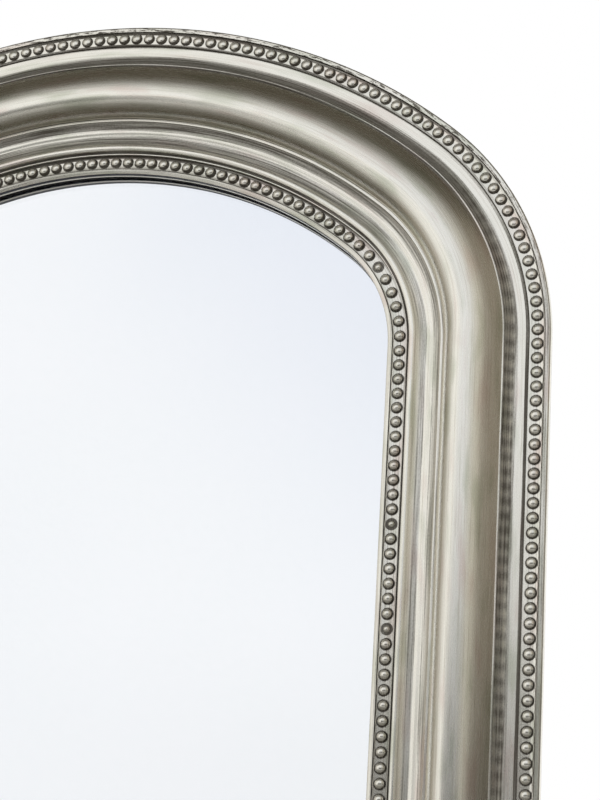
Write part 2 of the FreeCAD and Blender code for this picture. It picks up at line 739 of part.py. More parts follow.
def draw_plate(body, gap):
    """The arched outline of the glass or the board, set in from the frame's outer edge."""
    sketch = new_sketch(body, body.Name + "_outline", "XZ_Plane")
    inset = rebate_place + size(gap)
    INSET = "(<rebate_place> + <%s>)" % gap
    side = half_width - inset
    foot = inset - size("stile_length")
    shoulder = size("shoulder_radius") - inset
    crown_round = size("crown_radius") - inset
    centre_x = half_width - size("shoulder_radius")
    tilt = math.radians(RIGHT_ANGLE - crown_turn)
    base = sketch.addGeometry(Part.LineSegment(Vector(-side, foot, 0), Vector(side, foot, 0)))
    right = sketch.addGeometry(Part.LineSegment(Vector(side, foot, 0), Vector(side, 0, 0)))
    right_arc = sketch.addGeometry(Part.ArcOfCircle(
        Part.Circle(Vector(centre_x, 0, 0), Z_AXIS, shoulder), 0, tilt))
    top = sketch.addGeometry(Part.ArcOfCircle(
        Part.Circle(Vector(0, -crown_drop, 0), Z_AXIS, crown_round), tilt, math.pi - tilt))
    left_arc = sketch.addGeometry(Part.ArcOfCircle(
        Part.Circle(Vector(-centre_x, 0, 0), Z_AXIS, shoulder), math.pi - tilt, math.pi))
    left = sketch.addGeometry(Part.LineSegment(Vector(-side, 0, 0), Vector(-side, foot, 0)))
    chain = [base, right, right_arc, top, left_arc, left]
    for before, after in zip(chain, chain[1:] + chain[:1]):
        kind = "Coincident" if base in (before, after) else "Tangent"
        sketch.addConstraint(Sketcher.Constraint(kind, before, 2, after, 1))
    sketch.addConstraint(Sketcher.Constraint("Horizontal", base))
    sketch.addConstraint(Sketcher.Constraint("Vertical", right))
    sketch.addConstraint(Sketcher.Constraint("Vertical", left))
    sketch.addConstraint(Sketcher.Constraint("PointOnObject", top, 3, -2))
    sketch.addConstraint(Sketcher.Constraint("PointOnObject", right_arc, 3, -1))
    sketch.addConstraint(Sketcher.Constraint("PointOnObject", left_arc, 3, -1))
    fix(sketch, "<half_width> - " + INSET, "DistanceX", -1, 1, base, 2, side)
    fix(sketch, "<half_width> - " + INSET, "DistanceX", base, 1, -1, 1, side)
    fix(sketch, "<stile_length> - " + INSET, "DistanceY", base, 2, -1, 1, -foot)
    fix(sketch, "<shoulder_radius> - " + INSET, "Radius", right_arc, shoulder)
    fix(sketch, "<crown_radius> - " + INSET, "Radius", top, crown_round)
    return sketch


def plate(label, gap, thickness, lift):
    """A flat arched plate in the rebate, its back face in from the frame's back."""
    body = new_body(label, in_frame(0, 0))
    sketch = draw_plate(body, gap)
    sketch.AttachmentOffset = Placement(Vector(0, 0, size(lift)), NO_TURN)
    bind(sketch, AttachmentOffset__Base__z="<%s>" % lift)
    pad = body.newObject("PartDesign::Pad", label + "_pad")
    pad.Profile = sketch
    bind(pad, Length="<%s>" % thickness)
    return body


board = plate("backing_board", "board_edge_gap", "board_thickness", "board_set_in")
glass = plate("mirror_glass", "glass_edge_gap", "glass_thickness", "glass_lift")


# Strap hanger: a plate with two screw holes, rolled at its top round the bar of the ring
hanger_top = in_frame(hanger_x, -size("hanger_drop"))
strap_label = "right_hanger_strap"
strap = new_body(strap_label, hanger_top)
strap_sketch = new_sketch(strap, "strap_outline", "XZ_Plane")
strap_half = size("strap_width") / 2
strap_foot = -size("strap_length")
strap_lines = Outline(strap_sketch, Vector(-strap_half, 0, 0))
strap_edges = [strap_lines.line(Vector(x, z, 0)) for x, z in (
    (-strap_half, strap_foot), (strap_half, strap_foot), (strap_half, 0.0), (-strap_half, 0.0))]
strap_sketch.addConstraint(Sketcher.Constraint("Coincident", strap_edges[3], 2, strap_edges[0], 1))
for edge in (strap_edges[0], strap_edges[2]):
    strap_sketch.addConstraint(Sketcher.Constraint("Vertical", edge))
strap_sketch.addConstraint(Sketcher.Constraint("Horizontal", strap_edges[1]))
strap_sketch.addConstraint(Sketcher.Constraint("PointOnObject", strap_edges[3], 1, -1))
strap_sketch.addConstraint(Sketcher.Constraint("PointOnObject", strap_edges[3], 2, -1))
fix(strap_sketch, "<strap_width> / 2", "DistanceX", -1, 1, strap_edges[2], 2, strap_half)
fix(strap_sketch, "<strap_width> / 2", "DistanceX", strap_edges[0], 1, -1, 1, strap_half)
fix(strap_sketch, "<strap_length>", "DistanceY", strap_edges[0], 2, strap_edges[0], 1, size("strap_length"))
for hole in strap_holes:
    centre = Vector(0, -size(hole), 0)
    circle = strap_sketch.addGeometry(Part.Circle(centre, Z_AXIS, size("pilot_radius")))
    strap_sketch.addConstraint(Sketcher.Constraint("PointOnObject", circle, 3, -2))
    fix(strap_sketch, "<%s>" % hole, "DistanceY", circle, 3, -1, 1, size(hole))
    fix(strap_sketch, "<pilot_radius>", "Radius", circle, size("pilot_radius"))
strap_pad = strap.newObject("PartDesign::Pad", "strap_plate")
strap_pad.Profile = strap_sketch
strap_pad.Reversed = True
bind(strap_pad, Length="<strap_thickness>")
roll_sketch = new_sketch(strap, "strap_roll_section", "YZ_Plane")
roll_centre = Vector(size("ring_axis_height"), 0, 0)
for radius in ("bore_radius", "roll_radius"):
    circle = roll_sketch.addGeometry(Part.Circle(roll_centre, Z_AXIS, size(radius)))
    roll_sketch.addConstraint(Sketcher.Constraint("PointOnObject", circle, 3, -1))
    fix(roll_sketch, "<ring_axis_height>", "DistanceX", -1, 1, circle, 3, size("ring_axis_height"))
    fix(roll_sketch, "<%s>" % radius, "Radius", circle, size(radius))
roll = strap.newObject("PartDesign::Pad", "strap_roll")
roll.Profile = roll_sketch
roll.Midplane = True
bind(roll, Length="<strap_width>")
left_strap = mirrored(strap, "left_hanger_strap")

# The ring: one closed wire with a straight bar, two arms and a half-round end, hanging down
ring = new_body("right_hanger_ring", hanger_top)
path = new_sketch(ring, "ring_path", "XZ_Plane",
                  Placement(Vector(0, 0, -size("ring_axis_height")), NO_TURN))
bind(path, AttachmentOffset__Base__z="-<ring_axis_height>")
wide = size("ring_half_width")
bend = size("ring_corner_radius")
arm = size("ring_arm")
quarter = math.pi / 2
bar_line = path.addGeometry(Part.LineSegment(Vector(-wide + bend, 0, 0), Vector(wide - bend, 0, 0)))
right_bend = path.addGeometry(Part.ArcOfCircle(
    Part.Circle(Vector(wide - bend, -bend, 0), Z_AXIS, bend), 0, quarter))
right_arm = path.addGeometry(Part.LineSegment(Vector(wide, -bend, 0), Vector(wide, -arm, 0)))
end_arc = path.addGeometry(Part.ArcOfCircle(
    Part.Circle(Vector(0, -arm, 0), Z_AXIS, wide), math.pi, 2 * math.pi))
left_arm = path.addGeometry(Part.LineSegment(Vector(-wide, -arm, 0), Vector(-wide, -bend, 0)))
left_bend = path.addGeometry(Part.ArcOfCircle(
    Part.Circle(Vector(-wide + bend, -bend, 0), Z_AXIS, bend), quarter, math.pi))
for first, first_end, second, second_end in (
        (bar_line, 2, right_bend, 2), (right_bend, 1, right_arm, 1), (right_arm, 2, end_arc, 2),
        (end_arc, 1, left_arm, 1), (left_arm, 2, left_bend, 2), (left_bend, 1, bar_line, 1)):
    path.addConstraint(Sketcher.Constraint("Tangent", first, first_end, second, second_end))
path.addConstraint(Sketcher.Constraint("PointOnObject", bar_line, 1, -1))
path.addConstraint(Sketcher.Constraint("Horizontal", bar_line))
path.addConstraint(Sketcher.Constraint("PointOnObject", end_arc, 3, -2))
fix(path, "<ring_half_width>", "Radius", end_arc, wide)
fix(path, "<ring_corner_radius>", "Radius", right_bend, bend)
fix(path, "<ring_corner_radius>", "Radius", left_bend, bend)
fix(path, "<ring_arm>", "DistanceY", end_arc, 3, -1, 1, arm)
wire_sketch = new_sketch(ring, "ring_wire_section", "YZ_Plane")
wire_circle = wire_sketch.addGeometry(Part.Circle(roll_centre, Z_AXIS, size("ring_wire_radius")))
wire_sketch.addConstraint(Sketcher.Constraint("PointOnObject", wire_circle, 3, -1))
fix(wire_sketch, "<ring_axis_height>", "DistanceX", -1, 1, wire_circle, 3, size("ring_axis_height"))
fix(wire_sketch, "<ring_wire_radius>", "Radius", wire_circle, size("ring_wire_radius"))
ring_pipe = ring.newObject("PartDesign::AdditivePipe", "ring_wire")
ring_pipe.Profile = wire_sketch
ring_pipe.Spine = (path, ["Edge%d" % number for number in range(1, 7)])
left_ring = mirrored(ring, "left_hanger_ring")


def turn_button(label):
    """An oval plate that turns about its screw and holds the board in."""
    x, z, points = BUTTONS[label]
    body = new_body(label, in_frame(x, z, size("button_seat_gap"), Rotation(Y_AXIS, points)))
    sketch = new_sketch(body, label + "_outline", "XZ_Plane")
    half = size("button_width") / 2
    far = size("button_reach")
    near_arc = sketch.addGeometry(Part.ArcOfCircle(
        Part.Circle(Vector(), Z_AXIS, half), math.pi, 2 * math.pi))
    right_side = sketch.addGeometry(Part.LineSegment(Vector(half, 0, 0), Vector(half, far, 0)))
    far_arc = sketch.addGeometry(Part.ArcOfCircle(Part.Circle(Vector(0, far, 0), Z_AXIS, half), 0, math.pi))
    left_side = sketch.addGeometry(Part.LineSegment(Vector(-half, far, 0), Vector(-half, 0, 0)))
    chain = [near_arc, right_side, far_arc, left_side]
    for before, after in zip(chain, chain[1:] + chain[:1]):
        sketch.addConstraint(Sketcher.Constraint("Tangent", before, 2, after, 1))
    sketch.addConstraint(Sketcher.Constraint("Coincident", near_arc, 3, -1, 1))
    sketch.addConstraint(Sketcher.Constraint("PointOnObject", far_arc, 3, -2))
    fix(sketch, "<button_width> / 2", "Radius", near_arc, half)
    fix(sketch, "<button_reach>", "DistanceY", -1, 1, far_arc, 3, far)
    hole_circle = sketch.addGeometry(Part.Circle(Vector(), Z_AXIS, size("pivot_hole_radius")))
    sketch.addConstraint(Sketcher.Constraint("Coincident", hole_circle, 3, -1, 1))
    fix(sketch, "<pivot_hole_radius>", "Radius", hole_circle, size("pivot_hole_radius"))
    pad = body.newObject("PartDesign::Pad", label + "_pad")
    pad.Profile = sketch
    pad.Reversed = True
    bind(pad, Length="<button_thickness>")
    return body


buttons = [turn_button(label) for label in BUTTONS]
button_screws = group("turn_button_screws", [
    screw(label + "_screw", x, z, size("button_lift"), "button_screw_length")
    for label, (x, z, points) in BUTTONS.items()])
strap_screws = group("hanger_screws", [
    screw("%s_%s_screw" % (side, hole), sign * hanger_x, -size("hanger_drop") - size(hole),
          size("strap_thickness"), "strap_screw_length")
    for side, sign in (("right", 1), ("left", -1)) for hole in strap_holes])


def bumper(name, x):
    """A round soft pad on the back of the frame's lower corner, with a bevelled rim."""
    z = size("bumper_place") - size("stile_length")
    disc = cylinder(name + "_disc", in_frame(x, z, 0, BACKWARDS), "<bumper_radius>",
                    "<bumper_thickness> - <bumper_round>")
    rim = doc.addObject("Part::Cone", name + "_rim")
    bind(rim, Radius1="<bumper_radius>", Radius2="<bumper_radius> - <bumper_round>",
         Height="<bumper_round>")
    rim.Placement = in_frame(x, z, size("bumper_thickness") - size("bumper_round"), BACKWARDS)
    pad = doc.addObject("Part::Fuse", name)
    pad.Base = disc
    pad.Tool = rim
    return pad


bumper_x = half_width - size("bumper_place")
bumpers = group("wall_bumpers", [bumper("right_bumper", bumper_x), bumper("left_bumper", -bumper_x)])

doc.recompute()

PIECES = [
    crown, right_shoulder, left_shoulder, right_stile, left_stile, sill, glass, board, all_dowels,
    strap, left_strap, ring, left_ring, strap_screws, button_screws, bumpers]
PIECES += strips + buttons

for item in doc.Objects:
    if "Invalid" in item.State or "Error" in item.State:
        raise RuntimeError("%s failed: %s" % (item.Name, item.getStatusString()))
os.makedirs("parts", exist_ok=True)
for piece in PIECES:
    shape = piece.Shape
    if shape.isNull() or not shape.isValid():
        raise RuntimeError(piece.Label + " has no valid shape")
    print(piece.Label, len(shape.Solids), round(shape.Volume, 1))
    shape.exportStep("parts/%s.step" % piece.Label)
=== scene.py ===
"""Arched wall mirror in silver leaf: its looks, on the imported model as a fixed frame, in metres."""
import math
import random

import bmesh
import bpy
from bpy.props import FloatProperty, FloatVectorProperty, PointerProperty
from mathutils import Matrix, Vector


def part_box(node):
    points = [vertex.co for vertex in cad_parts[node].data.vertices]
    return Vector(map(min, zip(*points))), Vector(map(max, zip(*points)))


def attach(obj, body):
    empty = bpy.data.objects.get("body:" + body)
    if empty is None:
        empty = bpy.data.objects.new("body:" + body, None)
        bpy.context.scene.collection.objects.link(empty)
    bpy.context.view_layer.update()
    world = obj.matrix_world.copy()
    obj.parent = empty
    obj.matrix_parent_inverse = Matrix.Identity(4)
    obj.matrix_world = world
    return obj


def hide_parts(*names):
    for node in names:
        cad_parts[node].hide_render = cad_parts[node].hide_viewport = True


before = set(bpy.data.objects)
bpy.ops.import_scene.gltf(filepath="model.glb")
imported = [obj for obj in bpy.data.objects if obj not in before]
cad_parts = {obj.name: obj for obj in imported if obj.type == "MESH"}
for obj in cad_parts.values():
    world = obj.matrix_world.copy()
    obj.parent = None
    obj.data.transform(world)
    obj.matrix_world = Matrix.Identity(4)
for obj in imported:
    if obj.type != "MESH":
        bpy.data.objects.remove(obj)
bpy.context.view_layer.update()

bl_info = {
    "name": "Beaded arched mirror",
    "version": (1, 0, 0),
    "blender": (4, 5, 0),
    "location": "3D View > Sidebar > Mirror",
    "description": "Builds a moulded and beaded mirror frame in silver leaf round its packed model",
    "category": "Add Mesh",
}

MM = 0.001


def linear(hex_colour):
    """An sRGB hex colour as linear red, green and blue."""
    values = [int(hex_colour[i:i + 2], 16) / 255 for i in (1, 3, 5)]
    return [v / 12.92 if v <= 0.04045 else ((v + 0.055) / 1.055) ** 2.4 for v in values]


# The frame's outline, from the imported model, with the share of a quarter turn that half the crown
# takes, and its arcs: radius, centre in x and z, first angle and turn. PLACES lists the lengths that
# the frame is made of, each with its side
STILE_LOW, STILE_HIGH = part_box("right_stile_moulding")
HALF_WIDTH, BACK_Y, SPRING_Z = STILE_HIGH
FOOT_Z = STILE_LOW.z
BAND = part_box("bottom_moulding")[1].z - FOOT_Z
SHOULDER_RADIUS = 162.5 * MM
CROWN_SHARE = 0.445
CROWN_TURN = math.radians(90 * CROWN_SHARE)
SHOULDER_TURN = math.radians(90) - CROWN_TURN
CROWN_RADIUS = SHOULDER_RADIUS + (HALF_WIDTH - SHOULDER_RADIUS) / math.sin(CROWN_TURN)
CROWN_CENTRE_Z = SPRING_Z - (CROWN_RADIUS - SHOULDER_RADIUS) * math.cos(CROWN_TURN)
SHOULDER_CENTRE_X = HALF_WIDTH - SHOULDER_RADIUS
ARCS = {"crown": (CROWN_RADIUS, (0, CROWN_CENTRE_Z), SHOULDER_TURN, 2 * CROWN_TURN),
        "shoulder": (SHOULDER_RADIUS, (SHOULDER_CENTRE_X, SPRING_Z), 0.0, SHOULDER_TURN)}
PLACES = (("crown", 1), ("shoulder", 1), ("shoulder", -1), ("stile", 1), ("stile", -1), ("bottom", 1))

# The moulding's profile in millimetres, from the outer edge inwards: shape, width, height of the
# end above the back, radius (None for an arc that is level at its foot or its crest), and how much
# dark toning lies over its middle and at its end. Below zero white gesso shows instead of leaf
PROFILE = [
    ("bulge", 1.2, 19.7, 1.2, 0.5, 0.55),
    ("flat", 1.9, 19.7, None, 0.55, 0.65),
    ("wall", 0.0, 17.7, None, 1.0, 1.0),
    ("flat", 9.0, 17.7, None, 1.0, 1.0),
    ("wall", 0.0, 18.1, None, 1.0, 0.8),
    ("flat", 5.5, 18.1, None, 0.0, 0.35),
    ("hollow", 7.0, 22.0, None, 0.8, 0.75),
    ("flat", 0.9, 22.0, None, 0.2, 0.2),
    ("bulge", 20.8, 30.7, None, 0.0, 0.0),
    ("bulge", 11.6, 19.6, None, 0.0, 0.6),
    ("flat", 1.6, 19.6, None, 0.0, 0.0),
    ("wall", 0.0, 19.1, None, 0.7, 0.8),
    ("hollow", 4.9, 17.3, 10.0, 0.84, 0.4),
    ("bulge", 2.4, 16.8, 5.0, 0.0, 0.4),
    ("hollow", 7.6, 18.7, 16.0, 0.76, 0.15),
    ("bulge", 2.6, 18.3, 4.0, 0.0, 0.0),
    ("wall", 0.0, 15.5, None, 0.8, 0.9),
    ("flat", 1.0, 15.5, None, 0.9, 0.9),
    ("wall", 0.0, 16.1, None, 0.3, 0.1),
    ("flat", 0.7, 16.1, None, 0.1, 0.1),
    ("wall", 0.0, 13.0, None, 1.0, 1.0),
    ("flat", 8.2, 13.0, None, 1.0, 1.0),
    ("wall", 0.0, 14.7, None, 0.6, 0.6),
    ("bulge", 2.6, 14.0, 8.0, 0.25, 0.0),
    # The sight edge's walls: between bands of black paint, a band of white gesso below zero paints a
    # highlight along the sight edge
    ("wall", 0.0, 11.3, None, 0.5, -1.0),
    ("wall", 0.0, 9.9, None, -1.0, -1.0),
    ("wall", 0.0, 9.5, None, 0.5, 0.5),
]
# How far in the foot of the frame's side lies, where its upright land starts, and how long that is
SIDE_LEAN = 3.5
SIDE_LAND_HEIGHT = 15.0
LAND = PROFILE[0][2] - PROFILE[0][3] - SIDE_LAND_HEIGHT
# Dark lines at the start of a run, wax in the crevice and painted shade, some heavier down the sides and
# some over the crown:
# its number, how far on the line lies, half its width, and how dark it is down the sides and over the
# crown
WAX_AND_SHADE_LINES = [(5, 0.7, 0.9, 1.0, 0.3), (8, 0.6, 1.3, 0.1, 1.0), (9, 16.0, 1.6, 0.0, 0.4),
             (10, -0.3, 0.4, 0.0, 1.0), (10, -1.2, 1.8, 0.8, 0.0),
             (14, 2.4, 2.2, 0.62, 0.0), (18, 0.3, 0.9, 1.0, 0.0)]
# The share of its toning that a run keeps down the sides; over the crown it keeps all of it
TONING_KEPT_DOWN_SIDES = {11: 0.3, 12: 0.66, 13: 0.0, 14: 0.5, 22: 0.4}
# The cove run, where light and dark spots of painted reflection of the beads lie, with their pitch and
# their strength down the sides, and the first and the last run of the rim, where leaf has flaked off over
# the crown
COVE = 6
BEAD_REFLECTION_PITCH = 7.95
BEAD_REFLECTION_SHARE = 0.09
RIM_RUNS = (0, 2)
# The heights of the sight edge's wall: its top, and the ends of the band of white gesso, a painted
# highlight, between two bands of black paint. Then how long the toning takes to change from run to run,
# and the rebate's place from the outer edge and its depth
SIGHT_WALL = (PROFILE[-4][2], 11.3, 9.9)
FADE = 1.4
REBATE_PLACE = 83.0
REBATE_DEPTH = 9.5
# Softening of the sharp edges, the least angle that counts as sharp, and how finely runs are divided:
# how near its ends a straight run has extra corners, and degrees of arc and of the frame's curve
ARRIS = 0.25
SHARP_ANGLE = math.radians(25)
END_GAP = 0.7
ARC_STEP = 9
SWEEP_STEP = 1.5

# The rows of beads, in millimetres: the row's place from the outer edge, the floor of its channel,
# the radius of a bead, how unevenly the beads are worn, how dark the ground between them is down the
# sides and over the crown, the height of a bead to its radius, how far the strip reaches past its
# usual width towards the glass, and the beads' pitch where it isn't the usual one. At a joint of two
# lengths of strip, a share of the way along, a bead is broken and only partly there
STRIP_JOINTS = {"inner_beads_right_stile": (0.222, 0.341), "inner_beads_right_shoulder": (0.66,)}
BROKEN_SHARE = 0.66
# A strip's size, with the low lip along one edge, and the wavy line of painted shade along it: how far
# it lies from the row's middle, and its waves. Over the crown, painted shade also darkens the side of a
# bead that looks this way from its middle, in x and z
STRIP_WIDTH = 8.0
STRIP_THICKNESS = 1.0
LIP = 0.2
EDGE_LINE = 3.45
EDGE_WAVE = 0.22
SHADED_SIDE_WAY = (0.6, -0.8)
ROWS = {
    "outer": {"place": 7.3, "floor": 17.7, "bead": 3.15, "worn": 0.04, "ground": (0.38, 0.0),
              "height": 0.54, "margin": 0.25, "pitches": {"crown": 7.5, "shoulder": 8.2}},
    "inner": {"place": 82.8, "floor": 13.0, "bead": 3.1, "worn": 0.12, "ground": (0.42, 0.35),
              "height": 0.7, "margin": 0.0, "pitches": {"crown": 7.2, "shoulder": 9.0}},
}


def colour_setting(name, description, hex_colour):
    """A colour that can be set in the panel."""
    return FloatVectorProperty(name=name, description=description, subtype="COLOR",
                               default=linear(hex_colour))


class LeafSettings(bpy.types.PropertyGroup):
    """Colours of the silver leaf and the toning over it"""
    leaf: colour_setting("Leaf", "Colour of the silver leaf under its warm varnish", "#F6F3E8")
    rubbed: colour_setting("Rubbed leaf", "Leaf where brushing has thinned it", "#D6D0C2")
    pink: colour_setting("Pink clouds", "Leaf where the red clay under it shows through", "#E2D0C6")
    green: colour_setting("Green clouds", "Leaf where the varnish lies thick", "#D2D4C2")
    specks: colour_setting("Specks", "Specks where the leaf is worn through", "#7A6C57")
    # Gesso also paints the highlight along the sight edge
    gesso: colour_setting("Gesso", "White ground where the leaf has come off", "#F4F2EE")
    # The toning colour also paints the shade in the crevices and round the beads
    toning: colour_setting("Toning", "Dark wax left in the grooves", "#3A3124")
    wood: colour_setting("Wood", "Bare softwood at the back of the frame", "#B99B6B")
    roughness: FloatProperty(name="Roughness", description="Roughness of the brushed leaf",
                             default=0.27, min=0.0, max=1.0, subtype="FACTOR")


class BeadSettings(bpy.types.PropertyGroup):
    """Sizes of the applied rows of beads"""
    pitch: FloatProperty(name="Pitch", description="Distance from one bead to the next",
                         default=8.0 * MM, unit="LENGTH", precision=4)
    unevenness: FloatProperty(name="Unevenness", description="How far a bead may lie off its place",
                              default=0.1 * MM, unit="LENGTH", precision=5)


class FittingSettings(bpy.types.PropertyGroup):
    """Colours of the glass and of what is on the back"""
    glass: colour_setting("Mirror", "Colour that the silvered glass gives back", "#FBFBFF")
    board: colour_setting("Board", "Bare plywood", "#A98559")
    steel: colour_setting("Zinc plate", "Zinc-plated steel of hangers and screws", "#C9CBCB")
    brass: colour_setting("Brass", "Dull brass of the turn buttons", "#C9A45A")
    rubber: colour_setting("Rubber", "Black rubber of the wall bumpers", "#26252A")


class StudioSettings(bpy.types.PropertyGroup):
    """The light round the mirror and the camera on it"""
    ambient: FloatProperty(name="Ambient", description="Strength of the white room on matt surfaces",
                           default=0.62, min=0.0)
    key: FloatProperty(name="Window", description="Radiance of the large window lamp at the left",
                       default=0.35, min=0.0)
    camera_place: FloatVectorProperty(name="Camera", description="Place of the camera",
                                      subtype="XYZ", unit="LENGTH", default=(0.4534, -1.2439, -0.4295))
    camera_turn: FloatVectorProperty(name="Camera turn", description="Turn of the camera",
                                     subtype="EULER", unit="ROTATION",
                                     default=[math.radians(a) for a in (108.441, -3.207, 14.0015)])
    lens: FloatProperty(name="Lens", description="Focal length on a 36 mm sensor", default=111.55)


SETTINGS = {"mirror_leaf": LeafSettings, "mirror_beads": BeadSettings,
            "mirror_fittings": FittingSettings, "mirror_studio": StudioSettings}


def plug(tree, node, inputs):
    """Give a node's inputs their values or links."""
    for key, value in inputs.items():
        if isinstance(value, bpy.types.NodeSocket):
            tree.links.new(value, node.inputs[key])
        else:
            node.inputs[key].default_value = value


def add(tree, kind, inputs=None, **settings):
    """Add one node with its settings, input values and links."""
    node = tree.nodes.new(kind)
    for name, value in settings.items():
        setattr(node, name, value)
    plug(tree, node, inputs or {})
    return node


def empty_material(name):
    """A material without any node."""
    material = bpy.data.materials.new(name)
    material.use_nodes = True
    material.node_tree.nodes.clear()
    return material, material.node_tree


def new_material(name, on_run=False):
    """A material with its shader, and the place its patterns lie on: the run's map or the object."""
    material, tree = empty_material(name)
    shader = add(tree, "ShaderNodeBsdfPrincipled")
    add(tree, "ShaderNodeOutputMaterial", {"Surface": shader.outputs[0]})
    if on_run:
        return material, tree, shader, add(tree, "ShaderNodeUVMap", uv_map="run").outputs[0]
    return material, tree, shader, add(tree, "ShaderNodeTexCoord").outputs["Object"]


def attribute(tree, name):
    """A value that the builder left at the corners of the mesh."""
    return add(tree, "ShaderNodeAttribute", attribute_name=name).outputs["Fac"]


def field(tree, place, sizes, detail=2.0, rough=0.5):
    """A noise with features of these sizes, in millimetres, round 0.5."""
    scales = [1 / (size * MM) for size in sizes]
    scaled = add(tree, "ShaderNodeMapping", {"Vector": place, "Scale": scales}).outputs[0]
    return add(tree, "ShaderNodeTexNoise", {
        "Vector": scaled, "Scale": 1.0, "Detail": detail, "Roughness": rough}).outputs["Fac"]


def ramp(tree, value, low, high, out_low=0.0, out_high=1.0):
    """A value spread over a range, held at its ends."""
    return add(tree, "ShaderNodeMapRange", {
        0: value, 1: low, 2: high, 3: out_low, 4: out_high}, interpolation_type="SMOOTHSTEP").outputs[0]


def arithmetic(tree, operation, *values):
    """One sum on values or sockets."""
    return add(tree, "ShaderNodeMath", dict(enumerate(values)), operation=operation).outputs[0]


def blend(tree, share, first, second):
    """A colour between two others; each is a socket or a linear colour."""
    colours = [c if isinstance(c, bpy.types.NodeSocket) else (*c, 1.0) for c in (first, second)]
    return add(tree, "ShaderNodeMix", {0: share, 6: colours[0], 7: colours[1]},
               data_type="RGBA").outputs[2]


def surface(tree, shader, colour, rough, metallic=0.0, height=None, distance=0.0):
    """Give a shader its looks, and let a height stand out by a distance in millimetres."""
    plug(tree, shader, {"Base Color": colour, "Roughness": rough, "Metallic": metallic})
    if height is not None:
        bump = add(tree, "ShaderNodeBump", {"Height": height, "Distance": distance * MM, "Strength": 1.0})
        plug(tree, shader, {"Normal": bump.outputs[0]})


def leaf_surface(tree, shader, place, toning_and_painted_light, grain, dents, metal, rough_by):
    """Silver leaf on gesso: brushed along its length, thinned in places and toned in its hollows, with
    painted shade, painted reflections and a painted highlight laid in through the same toning.
    """
    leaf = bpy.context.scene.mirror_leaf
    streaks = field(tree, place, (60, 0.9, 1), 3.0, 0.6)
    fine_streaks = field(tree, place, (18, 0.35, 1), 2.0, 0.6)
    clouds = field(tree, place, (45, 9, 1), 2.0)
    flecks = field(tree, place, (0.9, 0.9, 1), 2.0, 0.7)
    thin = ramp(tree, streaks, 0.46, 0.82)
    colour = blend(tree, thin, leaf.leaf, leaf.rubbed)
    colour = blend(tree, ramp(tree, clouds, 0.52, 0.75, 0.0, 0.6), colour, leaf.pink)
    colour = blend(tree, ramp(tree, clouds, 0.5, 0.28, 0.0, 0.75), colour, leaf.green)
    colour = blend(tree, ramp(tree, flecks, 0.7, 0.8, 0.0, 0.5), colour, leaf.specks)
    # The toning value holds the patina of the hollows together with painted shade and painted reflections
    patchy = arithmetic(tree, "ADD", toning_and_painted_light, ramp(tree, streaks, 0.3, 0.75, -0.2, 0.2))
    patchy = arithmetic(tree, "ADD", patchy, ramp(tree, flecks, 0.3, 0.8, -0.08, 0.08))
    toned = arithmetic(tree, "MULTIPLY", ramp(tree, patchy, 0.25, 1.0), 0.92)
    colour = blend(tree, toned, colour, leaf.toning)
    # White gesso where the value falls below zero: leaf flaked off on the rim, and the painted highlight
    # along the sight edge
    bare = ramp(tree, toning_and_painted_light, -0.8, -0.3, 1.0, 0.0)
    colour = blend(tree, bare, colour, leaf.gesso)
    leafed = arithmetic(tree, "SUBTRACT", 1.0, bare)
    metallic = arithmetic(tree, "MULTIPLY", ramp(tree, toned, 0.0, 1.0, metal, 0.45), leafed)
    brushed = arithmetic(tree, "MULTIPLY_ADD", fine_streaks, 0.16, leaf.roughness - 0.08 + rough_by)
    rough = arithmetic(tree, "MULTIPLY_ADD", toned, 0.2, brushed)
    relief = arithmetic(tree, "MULTIPLY", streaks, 0.6)
    relief = arithmetic(tree, "MULTIPLY_ADD", fine_streaks, grain, relief)
    relief = arithmetic(tree, "MULTIPLY_ADD", flecks, dents, relief)
    surface(tree, shader, colour, rough, metallic, relief, 0.02)


